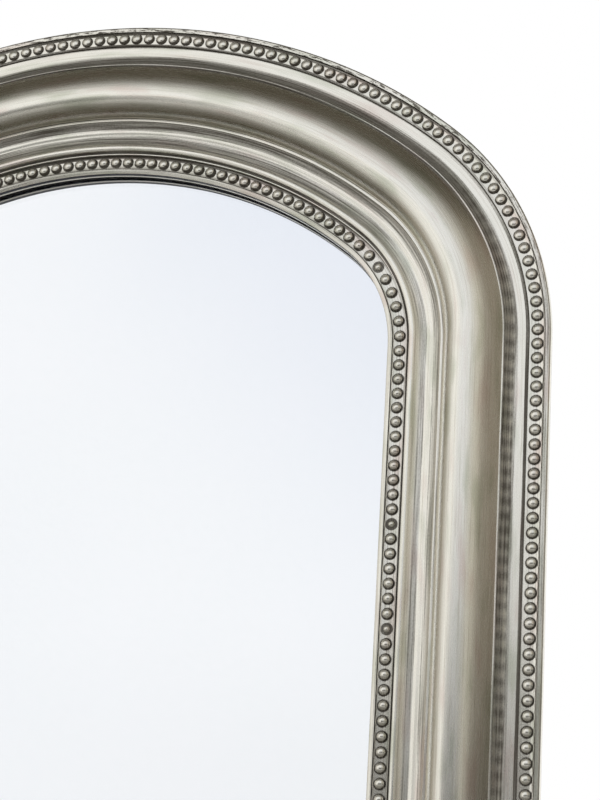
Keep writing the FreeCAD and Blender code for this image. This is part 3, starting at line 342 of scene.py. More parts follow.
def moulding_leaf():
    """Silver leaf on gessoed softwood, laid on and brushed along the run: it gives soft streaked
    reflections, warm where the varnish lies and nearly black where wax stayed in the grooves. Lines of
    painted shade darken its crevices, and painted reflections of the beads lie in the cove down the sides."""
    material, tree, shader, place = new_material("Brushed silver leaf on gesso", on_run=True)
    along, across, _ = add(tree, "ShaderNodeSeparateXYZ", {0: place}).outputs
    starts = run_starts()
    toning_and_painted_light = attribute(tree, "toning")
    over_crown = attribute(tree, "over_crown")
    # Dark lines in the crevices: wax, and painted shade that differs down the sides and over the crown
    for number, offset, half, at_side, at_crown in WAX_AND_SHADE_LINES:
        away = arithmetic(tree, "SUBTRACT", across, (starts[number] + offset) * MM)
        line = ramp(tree, arithmetic(tree, "ABSOLUTE", away), half * 0.6 * MM, half * 1.3 * MM, 0.95, 0.0)
        left = ramp(tree, over_crown, 0.0, 1.0, at_side, at_crown)
        toning_and_painted_light = arithmetic(tree, "MAXIMUM", toning_and_painted_light, arithmetic(tree, "MULTIPLY", line, left))
    in_cove = ramp(tree, across, (starts[COVE] + 1.0) * MM, (starts[COVE] + 2.5) * MM)
    past_cove = ramp(tree, across, (starts[COVE + 1] - 1.0) * MM, starts[COVE + 1] * MM)
    in_cove = arithmetic(tree, "SUBTRACT", in_cove, past_cove)
    # Painted reflections of the beads in the cove: light and dark spots at the beads' pitch, down the
    # sides
    turns = arithmetic(tree, "MULTIPLY", along, 2 * math.pi / (BEAD_REFLECTION_PITCH * MM))
    bead_reflections = arithmetic(tree, "MULTIPLY", arithmetic(tree, "COSINE", turns), in_cove)
    bead_reflections = arithmetic(tree, "MULTIPLY", bead_reflections, ramp(tree, over_crown, 0.0, 1.0, BEAD_REFLECTION_SHARE, 0.0))
    toning_and_painted_light = arithmetic(tree, "ADD", bead_reflections, toning_and_painted_light)
    flakes = ramp(tree, field(tree, place, (5, 1.2, 1), 3.0, 0.7), 0.44, 0.6, -0.5, 0.4)
    on_rim = arithmetic(tree, "SUBTRACT", across, sum(starts[run] for run in RIM_RUNS) / 2 * MM)
    reach = (starts[RIM_RUNS[1]] - starts[RIM_RUNS[0]]) / 2 * MM
    on_rim = ramp(tree, arithmetic(tree, "ABSOLUTE", on_rim), reach, reach + 0.4 * MM, 1.0, 0.0)
    on_rim = arithmetic(tree, "MULTIPLY", on_rim, over_crown)
    toning_and_painted_light = arithmetic(tree, "MULTIPLY_ADD", flakes, on_rim, toning_and_painted_light)
    leaf_surface(tree, shader, place, toning_and_painted_light, 0.5, 0.25, 1.0, 0.0)
    return material


def profile_runs():
    """The runs of the profile in millimetres: shape, width, rise, radius, length and both tonings."""
    height = PROFILE[0][2] - PROFILE[0][3]
    for shape, width, end, radius, middle, tone in PROFILE:
        rise = end - height
        height = end
        chord = length = math.hypot(width, rise)
        if shape in ("bulge", "hollow"):
            radius = radius or chord ** 2 / (2 * abs(rise))
            length = 2 * radius * math.asin(min(chord / 2 / radius, 1))
        yield shape, width, rise, radius, length, middle, tone


def run_starts():
    """How far along the section each run of the profile starts, from the back, in millimetres."""
    length = math.hypot(SIDE_LEAN, SIDE_LAND_HEIGHT) + LAND
    starts = []
    for run in profile_runs():
        starts.append(length)
        length += run[4]
    return starts


def bead_leaf(row):
    """Silver leaf on cast composition: the domes are rubbed bright, with a ring of painted shade round
    their edges, wider on their shaded side over the crown. Dark wax and painted shade lie round their
    feet, and painted shade along the strip's edges in a wavy line and, over the crown, along its sides."""
    material, tree, shader, place = new_material("Silver leaf on cast beads, %s row" % row, on_run=True)
    pitch = attribute(tree, "pitch")
    over_crown = attribute(tree, "over_crown")
    along, across, _ = add(tree, "ShaderNodeSeparateXYZ", {0: place}).outputs
    share = arithmetic(tree, "FRACT", arithmetic(tree, "DIVIDE", along, pitch))
    along = arithmetic(tree, "MULTIPLY", arithmetic(tree, "SUBTRACT", share, 0.5), pitch)
    away = add(tree, "ShaderNodeCombineXYZ", {0: along, 1: across})
    away = add(tree, "ShaderNodeVectorMath", {0: away.outputs[0]}, operation="LENGTH").outputs["Value"]
    bead = ROWS[row]["bead"]
    # A ring of painted shade round the edge of each dome, moved towards its shaded side over the crown
    shaded = arithmetic(tree, "MULTIPLY_ADD", attribute(tree, "shaded_side"), 0.34 * bead * MM, away)
    on_dome = ramp(tree, shaded, bead * 0.7 * MM, bead * 0.84 * MM)
    # How dark the ground lies away from the beads, down the sides and over the crown
    rubbed = ramp(tree, over_crown, 0.0, 1.0, *ROWS[row]["ground"])
    # Dark wax and painted shade at the foot of each dome, fading into the ground
    off_dome = ramp(tree, away, (bead + 0.05) * MM, (bead + 0.5) * MM, 1.0, rubbed)
    # A wavy line of painted shade along one edge of the strip
    wave = arithmetic(tree, "COSINE", arithmetic(tree, "MULTIPLY", share, 2 * math.pi))
    edge = arithmetic(tree, "MULTIPLY_ADD", wave, EDGE_WAVE * MM, EDGE_LINE * MM)
    outwards = arithmetic(tree, "MULTIPLY", across, -1.0 if row == "outer" else 1.0)
    edge = arithmetic(tree, "SUBTRACT", outwards, edge)
    line = ramp(tree, arithmetic(tree, "ABSOLUTE", edge), 0.1 * MM, 0.35 * MM, 0.8, 0.0)
    # Over the crown, painted shade along the strip's outward edge, and for the outer row along its edge
    # towards the glass
    shaded_margins = ramp(tree, across, -2.9 * MM, -1.9 * MM, 1.0, 0.0)
    sight_side = ramp(tree, across, 2.9 * MM, 3.3 * MM, 0.0, 0.9) if row == "outer" else 0.0
    shaded_margins = arithmetic(tree, "MULTIPLY", arithmetic(tree, "MAXIMUM", shaded_margins, sight_side), over_crown)
    ground = arithmetic(tree, "MAXIMUM", off_dome, line)
    toning_and_painted_light = add(tree, "ShaderNodeMix", {0: attribute(tree, "ground"), 2: on_dome, 3: ground}).outputs[0]
    toning_and_painted_light = arithmetic(tree, "MAXIMUM", toning_and_painted_light, shaded_margins)
    leaf_surface(tree, shader, place, toning_and_painted_light, 0.3, 1.2, 0.75, -0.1)
    return material


def bare_wood(name, colour, dark, sizes):
    """Sawn wood: pale early wood with darker, harder lines of late wood along it."""
    material, tree, shader, place = new_material(name)
    lines = field(tree, place, sizes, 3.0, 0.6)
    pores = field(tree, place, [size / 4 for size in sizes], 2.0, 0.6)
    share = arithmetic(tree, "MULTIPLY_ADD", pores, 0.4, ramp(tree, lines, 0.35, 0.65, 0.0, 0.6))
    surface(tree, shader, blend(tree, share, colour, dark), ramp(tree, pores, 0.3, 0.7, 0.55, 0.75),
            height=share, distance=0.15)
    return material


def black_paint():
    """Black paint brushed round the edge that the glass reflects: satin, with faint brush marks."""
    material, tree, shader, place = new_material("Black paint on the sight edge", on_run=True)
    marks = field(tree, place, (25, 0.6, 1), 3.0)
    surface(tree, shader, blend(tree, marks, linear("#303038"), linear("#44444E")),
            ramp(tree, marks, 0.3, 0.7, 0.4, 0.55), height=marks, distance=0.02)
    return material


def clear_glass():
    """Float glass, drawn and fire-polished: clear, with a few faint specks of dust on it."""
    material, tree, shader, place = new_material("Clear float glass")
    dust = field(tree, place, (3, 3, 3), 3.0, 0.7)
    body = blend(tree, ramp(tree, dust, 0.4, 0.8, 0.0, 0.3), linear("#FAFCFB"), linear("#F3F7F6"))
    surface(tree, shader, body, ramp(tree, dust, 0.6, 0.9, 0.0, 0.01))
    plug(tree, shader, {"Transmission Weight": 1.0, "IOR": 1.52})
    return material


def silvering():
    """Silver laid on the back of the glass: a cool bright mirror, slightly uneven in tone."""
    material, tree, shader, place = new_material("Silvering behind glass")
    haze = field(tree, place, (220, 220, 220), 2.0)
    colour = blend(tree, ramp(tree, haze, 0.3, 0.7, 0.0, 0.25),
                   bpy.context.scene.mirror_fittings.glass, linear("#F2F5F9"))
    surface(tree, shader, colour, ramp(tree, haze, 0.3, 0.7, 0.0, 0.004), 1.0)
    return material


def plated_metal(name, colour, tarnish, roughness, sizes):
    """Sheet or wire metal that was tumbled and plated: fine scuffs and cloudy dull patches."""
    material, tree, shader, place = new_material(name)
    clouds = field(tree, place, [size * 8 for size in sizes], 3.0)
    scuffs = field(tree, place, sizes, 3.0, 0.7)
    colour = blend(tree, ramp(tree, clouds, 0.4, 0.7, 0.0, 0.6), colour, tarnish)
    rough = ramp(tree, scuffs, 0.3, 0.7, roughness - 0.08, roughness + 0.12)
    surface(tree, shader, colour, rough, 1.0, scuffs, 0.02)
    return material


def moulded_rubber():
    """Black rubber from a mould: even, matt, with a faint grain and a grey bloom."""
    material, tree, shader, place = new_material("Moulded black rubber")
    bloom = field(tree, place, (4, 4, 4), 3.0)
    grain = field(tree, place, (0.4, 0.4, 0.4), 2.0)
    rubber = bpy.context.scene.mirror_fittings.rubber
    colour = blend(tree, ramp(tree, bloom, 0.45, 0.8, 0.0, 0.4), rubber, linear("#4A494C"))
    surface(tree, shader, colour, ramp(tree, grain, 0.3, 0.7, 0.6, 0.8), height=grain, distance=0.03)
    return material


def clad(node, material):
    """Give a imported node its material."""
    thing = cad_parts[node]
    thing.data.materials.clear()
    thing.data.materials.append(material)


def chain_profile(bm):
    """Draw the moulding's closed section, with its outer edge at x = 0; returns its edges."""
    toning = bm.verts.layers.float["toning"]
    run = bm.verts.layers.float["run"]
    start = bm.verts.new((-SIDE_LEAN * MM, BACK_Y, 0))
    state = {"vert": start, "run": 0.0}
    edges = []

    def follow(points, shares, length, middle, tone):
        """Lead the chain through points, each at its share of a run's length."""
        before = state["vert"][toning]
        fade = min(FADE * MM, length / 2)
        for point, share in zip(points, shares):
            made = bmesh.ops.extrude_vert_indiv(bm, verts=[state["vert"]])
            edges.append(made["edges"][0])
            vert = state["vert"] = made["verts"][0]
            vert.co = point
            vert[run] = state["run"] + length * share
            early = max(0, 1 - length * share / fade)
            late = max(0, 1 - length * (1 - share) / fade)
            vert[toning] = before * early + middle * (1 - early - late) + tone * late
        state["run"] += length

    def line(inwards, up, middle, tone):
        """A straight run, with extra corners near its ends if it is long."""
        length = math.hypot(inwards, up)
        gap = END_GAP * MM / length
        shares = [gap, 0.5, 1 - gap, 1.0] if length > 2 * MM else [1.0]
        begin = state["vert"].co.copy()
        points = [begin + Vector((-inwards, -up, 0)) * share for share in shares]
        follow(points, shares, length, middle, tone)

    def arc(inwards, up, radius, bulging, middle, tone):
        """A round run, turned about its centre."""
        begin = state["vert"].co.copy()
        chord = Vector((-inwards, -up, 0))
        half = chord.length / 2
        normal = Vector((chord.y, -chord.x, 0)).normalized()
        side = 1 if bulging else -1
        centre = begin + chord / 2 + normal * side * math.sqrt(max(radius ** 2 - half ** 2, 0))
        angle = 2 * math.asin(min(half / radius, 1))
        steps = max(int(math.degrees(angle) / ARC_STEP), int(radius * angle / MM), 3)
        shares = [(step + 1) / steps for step in range(steps)]
        points = [centre + Matrix.Rotation(-side * angle * share, 3, "Z") @ (begin - centre)
                  for share in shares]
        follow(points, shares, radius * angle, middle, tone)

    line(-SIDE_LEAN * MM, SIDE_LAND_HEIGHT * MM, 0.4, 0.4)
    line(0, LAND * MM, 0.35, 0.3)
    for shape, width, rise, radius, _, middle, tone in profile_runs():
        if shape in ("flat", "wall"):
            line(width * MM, rise * MM, middle, tone)
        else:
            arc(width * MM, rise * MM, radius * MM, shape == "bulge", middle, tone)
    band = sum(run[1] for run in PROFILE)
    line((REBATE_PLACE - band) * MM, 0.0, 0.0, 0.0)
    line(0.0, -REBATE_DEPTH * MM, 0.0, 0.0)
    edges.append(bm.edges.new((state["vert"], start)))
    return edges


# How long the crown, a shoulder and a stile are on the band's middle line
CROWN_RUN = CROWN_TURN * (CROWN_RADIUS - BAND / 2)
SHOULDER_RUN = SHOULDER_TURN * (SHOULDER_RADIUS - BAND / 2)
STILE_RUN = SPRING_Z - FOOT_Z


def loftiness(place, point):
    """How much a point lies over the crown: 1 at the top, and 0 from the springing down."""
    if place not in ARCS:
        return 0.0
    x, z = ARCS[place][1]
    return max(0.0, math.sin(math.atan2(point.z - z, point.x - x)))


def along_path(place, point):
    """How far along the frame a point is from the crown's middle, on the band's middle line."""
    if place in ARCS:
        radius, (x, z), _, _ = ARCS[place]
        before, first = (0.0, 0.0) if place == "crown" else (CROWN_RUN, CROWN_TURN)
        return before + (math.atan2(point.x - x, point.z - z) - first) * (radius - BAND / 2)
    if place == "stile":
        return CROWN_RUN + SHOULDER_RUN + SPRING_Z - point.z
    return CROWN_RUN + SHOULDER_RUN + STILE_RUN + HALF_WIDTH - point.x


def inset_of(place, point):
    """How far inside the frame's outer edge a point lies."""
    if place in ARCS:
        radius, (x, z), _, _ = ARCS[place]
        return radius - math.hypot(point.x - x, point.z - z)
    return HALF_WIDTH - point.x if place == "stile" else point.z - FOOT_Z


def sweep(bm, edges, place):
    """Run a section, drawn at z = 0 round the outer edge, along one place of the frame."""
    verts = list({v for e in edges for v in e.verts})
    if place in ARCS:
        radius, (x, z), first, turn = ARCS[place]
        centre = (x, 0, z)
        bmesh.ops.translate(bm, verts=verts, vec=(radius, 0, 0))
        bmesh.ops.rotate(bm, verts=verts, cent=(0, 0, 0), matrix=Matrix.Rotation(-first, 3, "Y"))
        bmesh.ops.translate(bm, verts=verts, vec=centre)
        bmesh.ops.spin(bm, geom=verts + edges, cent=centre, axis=(0, -1, 0), angle=turn,
                       steps=max(int(math.degrees(turn) / SWEEP_STEP), 8), use_duplicate=False)
        return
    if place == "stile":
        bmesh.ops.translate(bm, verts=verts, vec=(HALF_WIDTH, 0, SPRING_Z))
        move = Vector((0, 0, FOOT_Z - SPRING_Z))
    else:
        bmesh.ops.rotate(bm, verts=verts, cent=(0, 0, 0), matrix=Matrix.Rotation(math.radians(90), 3, "Y"))
        bmesh.ops.translate(bm, verts=verts, vec=(HALF_WIDTH, 0, FOOT_Z))
        move = Vector((-2 * HALF_WIDTH, 0, 0))
    grown = bmesh.ops.extrude_edge_only(bm, edges=edges)["geom"]
    bmesh.ops.translate(bm, verts=only_verts(grown), vec=move)


def only_verts(geometry):
    """The corners among some geometry."""
    return [g for g in geometry if isinstance(g, bmesh.types.BMVert)]


def cut_away(bm, cuts, kept=()):
    """Cut off what lies beyond each plane, a point and a normal, but nothing of the faces to keep."""
    for point, normal in cuts:
        geometry = [g for g in bm.verts[:] + bm.edges[:] if not any(f in kept for f in g.link_faces)]
        geometry += [f for f in bm.faces if f not in kept]
        bmesh.ops.bisect_plane(bm, geom=geometry, plane_co=point, plane_no=normal, clear_outer=True)


def mitres(place):
    """The planes of the mitres at the foot that end a stile or the bottom."""
    if place == "stile":
        return [((HALF_WIDTH, 0, FOOT_Z), (-1, 0, -1))]
    if place == "bottom":
        return [((side * HALF_WIDTH, 0, FOOT_Z), (side, 0, 1)) for side in (1, -1)]
    return []


def close_ends(bm):
    """Close what is open at the ends of a run."""
    bmesh.ops.remove_doubles(bm, verts=bm.verts[:], dist=0.001 * MM)
    rims = [e for e in bm.edges if len(e.link_faces) == 1]
    bmesh.ops.edgeloop_fill(bm, edges=rims)
    bmesh.ops.recalc_face_normals(bm, faces=bm.faces[:])


def mesh_from(bm, name):
    """Turn worked geometry into a mesh."""
    mesh = bpy.data.meshes.new(name)
    bm.to_mesh(mesh)
    bm.free()
    return mesh


def finish_piece(bm, name, materials, mirrored=False, bevel=0.0):
    """Make a piece from worked geometry and let it ride on the frame."""
    if mirrored:
        bmesh.ops.scale(bm, vec=(-1, 1, 1), verts=bm.verts[:])
        bmesh.ops.reverse_faces(bm, faces=bm.faces[:])
    mesh = mesh_from(bm, name)
    mesh.shade_smooth()
    piece = bpy.data.objects.new(name, mesh)
    bpy.context.scene.collection.objects.link(piece)
    for material in materials:
        mesh.materials.append(material)
    if bevel:
        rounding = piece.modifiers.new("Softened arrises", "BEVEL")
        rounding.width = bevel
        rounding.segments = 2
        rounding.limit_method = "WEIGHT"
        rounding.harden_normals = True
    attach(piece, "frame")
    return piece


def mark_arrises(bm):
    """Mark the long sharp edges for softening, and leave the joints between the runs tight."""
    weight = bm.edges.layers.float.new("bevel_weight_edge")
    run = bm.verts.layers.float["run"]
    for edge in bm.edges:
        along_run = abs(edge.verts[0][run] - edge.verts[1][run]) < 0.001 * MM
        sharp = edge.calc_face_angle() > SHARP_ANGLE
        edge.smooth = not sharp
        ends = any(len(face.verts) > 8 for face in edge.link_faces)
        edge[weight] = 1.0 if along_run and sharp and not ends else 0.0


def lay_out_run(bm, place, side):
    """Spread the run's UV map: along the path, and across it by the length of the section."""
    uv = bm.loops.layers.uv.new("run")
    run = bm.verts.layers.float["run"]
    longest = max(v[run] for v in bm.verts)
    top, highlight_high, highlight_low = SIGHT_WALL
    for face in bm.faces:
        around = [loop.vert[run] for loop in face.loops]
        wraps = max(around) - min(around) > longest / 2
        for loop in face.loops:
            across = loop.vert[run]
            if wraps and across < longest / 2:
                across += longest
            loop[uv].uv = (side * along_path(place, loop.vert.co), across)
        middle = face.calc_center_median()
        height = (BACK_Y - middle.y) / MM
        in_rebate = inset_of(place, middle) > (REBATE_PLACE - 1) * MM
        if height < REBATE_DEPTH - 0.1 and (face.normal.y > 0.7 or in_rebate):
            face.material_index = 1
        # Black paint on the sight edge's wall above and below the band of white gesso that paints a
        # highlight
        elif in_rebate and (height < highlight_low or highlight_high < height < top):
            face.material_index = 2


def sided(place, side):
    """The name of a place, with its side before it where it has two."""
    if place not in ("shoulder", "stile"):
        return place
    return "%s_%s" % ("right" if side > 0 else "left", place)


def build_moulding(place, side, materials):
    """One length of the moulding."""
    bm = bmesh.new()
    bm.verts.layers.float.new("toning")
    bm.verts.layers.float.new("run")
    over_crown = bm.verts.layers.float.new("over_crown")
    sweep(bm, chain_profile(bm), place)
    cut_away(bm, mitres(place))
    close_ends(bm)
    toning = bm.verts.layers.float["toning"]
    run = bm.verts.layers.float["run"]
    starts = run_starts()
    for vert in bm.verts:
        vert[over_crown] = loftiness(place, vert.co)
        for number, kept in TONING_KEPT_DOWN_SIDES.items():
            if starts[number] * MM < vert[run] < starts[number + 1] * MM:
                vert[toning] *= kept + (1 - kept) * vert[over_crown]
    lay_out_run(bm, place, side)
    mark_arrises(bm)
    piece = finish_piece(bm, "leafed_" + sided(place, side), materials,
                         mirrored=side < 0, bevel=ARRIS * MM)
    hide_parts(sided(place, side) + "_moulding")


def bead_stations(place, row):
    """Where the beads of a strip stand, and the direction inwards at each: (x, z, inwards)."""
    inset = ROWS[row]["place"] * MM
    usual = bpy.context.scene.mirror_beads.pitch
    pitch = ROWS[row]["pitches"].get(place, usual / MM) * MM
    if place in ARCS:
        radius, (x, z), first, turn = ARCS[place]
        radius -= inset
        count = max(round(turn * radius / pitch), 1)
        for number in range(count):
            angle = first + turn * (number + 0.5) / count
            yield x + radius * math.cos(angle), z + radius * math.sin(angle), angle
    elif place == "stile":
        spread = STILE_RUN - inset - pitch / 2
        count = max(round(spread / pitch), 1)
        for number in range(count + 1):
            yield HALF_WIDTH - inset, SPRING_Z - pitch / 2 - spread * number / count, 0.0
    else:
        span = 2 * (HALF_WIDTH - inset)
        count = max(round(span / pitch), 1)
        for number in range(1, count):
            yield HALF_WIDTH - inset - span * number / count, FOOT_Z + inset, -math.pi / 2


def strip_section(bm, row):
    """The flat section of a strip, with one slightly raised edge; returns its edges."""
    inset = ROWS[row]["place"] * MM
    floor = ROWS[row]["floor"] * MM
    half = STRIP_WIDTH / 2 * MM
    low = BACK_Y - floor
    top = low - STRIP_THICKNESS * MM
    lip = LIP * MM
    way = -1 if row == "outer" else 1
    other = half + ROWS[row]["margin"] * MM
    corners = [(-other, low), (-other, top), (0, top), (half - 3 * lip, top),
               (half - lip, top - lip), (half, top), (half, low)]
    verts = [bm.verts.new((-inset - way * x, y, 0)) for x, y in corners]
    return [bm.edges.new(pair) for pair in zip(verts, verts[1:] + verts[:1])]


def bead_dome():
    """A bead of radius 1: a dome towards the front, closed a little behind its middle."""
    bm = bmesh.new()
    bmesh.ops.create_uvsphere(bm, u_segments=12, v_segments=8, radius=1.0,
                              matrix=Matrix.Rotation(math.radians(90), 4, "X"))
    cut_away(bm, [((0, 0.12, 0), (0, 1, 0))])
    bmesh.ops.holes_fill(bm, edges=[e for e in bm.edges if len(e.link_faces) == 1], sides=0)
    return mesh_from(bm, "bead")


def set_bead(bm, dome, dice, facts, station, side, share):
    """Set one worn bead, of a share of the usual size, at its station."""
    x, z, angle = station
    worn = facts["height"] - facts["worn"] * dice.random()
    radius = facts["bead"] * MM * (1 - 0.05 * dice.random()) * share
    uneven = bpy.context.scene.mirror_beads.unevenness
    shift = Vector((dice.uniform(-1, 1), 0, dice.uniform(-1, 1))) * uneven
    level = BACK_Y - (facts["floor"] + STRIP_THICKNESS) * MM
    matrix = (Matrix.Translation(Vector((x, level, z)) + shift)
              @ Matrix.Rotation(-angle, 4, "Y")
              @ Matrix.Diagonal((radius * dice.uniform(0.97, 1.03), radius * worn, radius, 1)))
    before = len(bm.verts)
    bm.from_mesh(dome)
    bm.verts.ensure_lookup_table()
    fresh = bm.verts[before:]
    bmesh.ops.transform(bm, matrix=matrix, verts=fresh)
    over_crown = bm.verts.layers.float["over_crown"]
    # How far each corner lies on the bead's shaded side, where shade is painted over the crown
    shaded_side = bm.verts.layers.float["shaded_side"]
    for vert in fresh:
        vert[over_crown] = max(0.0, math.sin(angle))
        across = SHADED_SIDE_WAY[0] * (vert.co.x - x) * side + SHADED_SIDE_WAY[1] * (vert.co.z - z)
        vert[shaded_side] = across / radius * vert[over_crown]


def strip_ends(place, row):
    """The planes that end a strip's ground by the corners at the foot."""
    edge = ROWS[row]["place"] - STRIP_WIDTH / 2
    if place == "stile":
        return [((0, 0, FOOT_Z + edge * MM), (0, 0, -1))]
    if place == "bottom":
        reach = HALF_WIDTH - (edge + STRIP_WIDTH + 0.1) * MM
        return [((side * reach, 0, 0), (side, 0, 0)) for side in (1, -1)]
    return []


def build_strip(place, side, row, material):
    """One strip of beads: its ground, and a worn dome at each station. For the material, its mesh
    says what is ground, the pitch, how far a point lies on a bead's shaded side for the painted shade,
    and how far over the crown."""
    node = "%s_beads_%s" % (row, sided(place, side))
    dice = random.Random(node)
    dome = bead_dome()
    bm = bmesh.new()
    ground, spacing, _, over_crown = [
        bm.verts.layers.float.new(name) for name in ("ground", "pitch", "shaded_side", "over_crown")]
    uv = bm.loops.layers.uv.new("run")
    stations = list(bead_stations(place, row))
    broken = {round(share * (len(stations) - 1)) for share in STRIP_JOINTS.get(node, ())}
    for number, station in enumerate(stations):
        share = BROKEN_SHARE if number in broken else 1.0
        set_bead(bm, dome, dice, ROWS[row], station, side, share)
    domes = set(bm.faces)
    sweep(bm, strip_section(bm, row), place)
    for vert in bm.verts:
        if not any(face in domes for face in vert.link_faces):
            vert[ground] = 1.0
            vert[over_crown] = loftiness(place, vert.co)
    cut_away(bm, strip_ends(place, row), domes)
    rims = [e for e in bm.edges if len(e.link_faces) == 1]
    bmesh.ops.holes_fill(bm, edges=rims, sides=0)
    bmesh.ops.recalc_face_normals(bm, faces=bm.faces[:])
    for edge in bm.edges:
        edge.smooth = len(edge.link_faces) != 2 or edge.calc_face_angle() < 2 * SHARP_ANGLE
    pitch = spread_strip(bm, uv, place, row, side, stations)
    for vert in bm.verts:
        vert[spacing] = pitch
    bpy.data.meshes.remove(dome)
    piece = finish_piece(bm, "leafed_" + node, [material], mirrored=side < 0)
    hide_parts(node)


def spread_strip(bm, uv, place, row, side, stations):
    """Spread a strip's UV map, along its row and across it; returns the true pitch of its beads."""
    (first_x, first_z, _), (next_x, next_z, _) = stations[:2]
    last_x, last_z, _ = stations[-1]
    pitch = math.hypot(next_x - first_x, next_z - first_z)
    for face in bm.faces:
        for loop in face.loops:
            point = loop.vert.co
            if place in ARCS:
                _, (x, z), first, turn = ARCS[place]
                pitches = (math.atan2(point.z - z, point.x - x) - first) / turn * len(stations)
            elif place == "stile":
                pitches = 0.5 + (first_z - point.z) / (first_z - last_z) * (len(stations) - 1)
            else:
                pitches = 0.5 + (first_x - point.x) / (first_x - last_x) * (len(stations) - 1)
            across = inset_of(place, point) - ROWS[row]["place"] * MM
            loop[uv].uv = (side * pitches * pitch, across)
    return pitch


class MIRROR_OT_mouldings(bpy.types.Operator):
    """Run the six leafed mouldings of the frame"""
    bl_idname = "mirror.mouldings"
    bl_label = "Mouldings"

    def execute(self, context):
        wood = context.scene.mirror_leaf.wood
        materials = [moulding_leaf(), bare_wood("Sawn softwood", wood, linear("#94733F"), (3, 3, 90)),
                     black_paint()]
        for place, side in PLACES:
            build_moulding(place, side, materials)
        return {"FINISHED"}


class MIRROR_OT_beads(bpy.types.Operator):
    """Lay the outer and inner strips of beads into their channels"""
    bl_idname = "mirror.beads"
    bl_label = "Bead strips"

    def execute(self, context):
        for row in ROWS:
            material = bead_leaf(row)
            for place, side in PLACES:
                build_strip(place, side, row, material)
        return {"FINISHED"}


class MIRROR_OT_glass(bpy.types.Operator):
    """Cut the mirror glass, clear in front and silvered behind"""
    bl_idname = "mirror.glass"
    bl_label = "Mirror glass"

    def execute(self, context):
        low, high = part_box("mirror_glass")
        high.y -= 0.05 * MM
        bm = bmesh.new()
        corner = bm.verts.new((high.x, high.y, low.z))
        spring = bm.verts.new((high.x, high.y, SPRING_Z))
        bm.edges.new((corner, spring))
        tail = spring
        for place, side, steps in (("shoulder", 1, 24), ("crown", 1, 64), ("shoulder", -1, 24)):
            _, (x, z), _, turn = ARCS[place]
            made = bmesh.ops.spin(bm, geom=[tail], cent=(side * x, 0, z), axis=(0, -1, 0), angle=turn,
                                  steps=steps, use_duplicate=False)
            tail = only_verts(made["geom_last"])[0]
        foot = bm.verts.new((low.x, high.y, low.z))
        bm.edges.new((tail, foot))
        bm.edges.new((foot, corner))
        pane = bmesh.ops.edgeloop_fill(bm, edges=bm.edges[:])["faces"]
        grown = bmesh.ops.extrude_face_region(bm, geom=pane, use_keep_orig=True)["geom"]
        bmesh.ops.translate(bm, verts=only_verts(grown), vec=(0, low.y - high.y, 0))
        bmesh.ops.recalc_face_normals(bm, faces=bm.faces[:])
        for face in bm.faces:
            face.material_index = 1 if face.normal.y > 0.7 else 0
        piece = finish_piece(bm, "silvered_pane", [clear_glass(), silvering()])
        piece.data.shade_flat()
        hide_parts("mirror_glass")
        return {"FINISHED"}


class MIRROR_OT_backing(bpy.types.Operator):
    """Finish the backing board and the dowels"""
    bl_idname = "mirror.backing"
    bl_label = "Backing board"

    def execute(self, context):
        board = context.scene.mirror_fittings.board
        clad("backing_board", bare_wood("Rotary-cut plywood", board, linear("#7E5C35"), (14, 14, 160)))
        clad("joint_dowels", bare_wood("Turned beech", linear("#D2AE7C"), linear("#A9834F"), (1, 1, 12)))
        return {"FINISHED"}


class MIRROR_OT_hangers(bpy.types.Operator):
    """Plate the hangers and all the screws with zinc"""
    bl_idname = "mirror.hangers"
    bl_label = "Hangers and screws"

    def execute(self, context):
        zinc = context.scene.mirror_fittings.steel
        steel = plated_metal("Zinc-plated steel", zinc, linear("#8E9191"), 0.32, (0.5, 0.5, 0.5))
        for side in ("right", "left"):
            clad("%s_hanger_strap" % side, steel)
            clad("%s_hanger_ring" % side, steel)
        steel = plated_metal("Zinc-plated screw steel", zinc, linear("#77787A"), 0.28, (0.3, 0.3, 0.3))
        clad("hanger_screws", steel)
        clad("turn_button_screws", steel)
        return {"FINISHED"}


class MIRROR_OT_buttons(bpy.types.Operator):
    """Finish the six brass turn buttons"""
    bl_idname = "mirror.buttons"
    bl_label = "Turn buttons"

    def execute(self, context):
        brass = plated_metal("Stamped dull brass", context.scene.mirror_fittings.brass, linear("#7D6230"),
                             0.36, (0.4, 0.4, 0.4))
        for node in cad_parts:
            if node.startswith("turn_button_") and not node.endswith("screws"):
                clad(node, brass)
        return {"FINISHED"}


class MIRROR_OT_bumpers(bpy.types.Operator):
    """Finish the two rubber wall bumpers"""
    bl_idname = "mirror.bumpers"
    bl_label = "Wall bumpers"

    def execute(self, context):
        clad("wall_bumpers", moulded_rubber())
        return {"FINISHED"}


def plain_plane(name, corners, material):
    """A flat four-cornered sheet of the studio, with its UV map from corner to corner."""
    bm = bmesh.new()
    uv = bm.loops.layers.uv.new("sheet")
    face = bm.faces.new([bm.verts.new(corner) for corner in corners])
    for loop, place in zip(face.loops, ((0, 0), (1, 0), (1, 1), (0, 1))):
        loop[uv].uv = place
    mesh = mesh_from(bm, name)
    mesh.materials.append(material)
    thing = bpy.data.objects.new(name, mesh)
    bpy.context.scene.collection.objects.link(thing)
    return thing


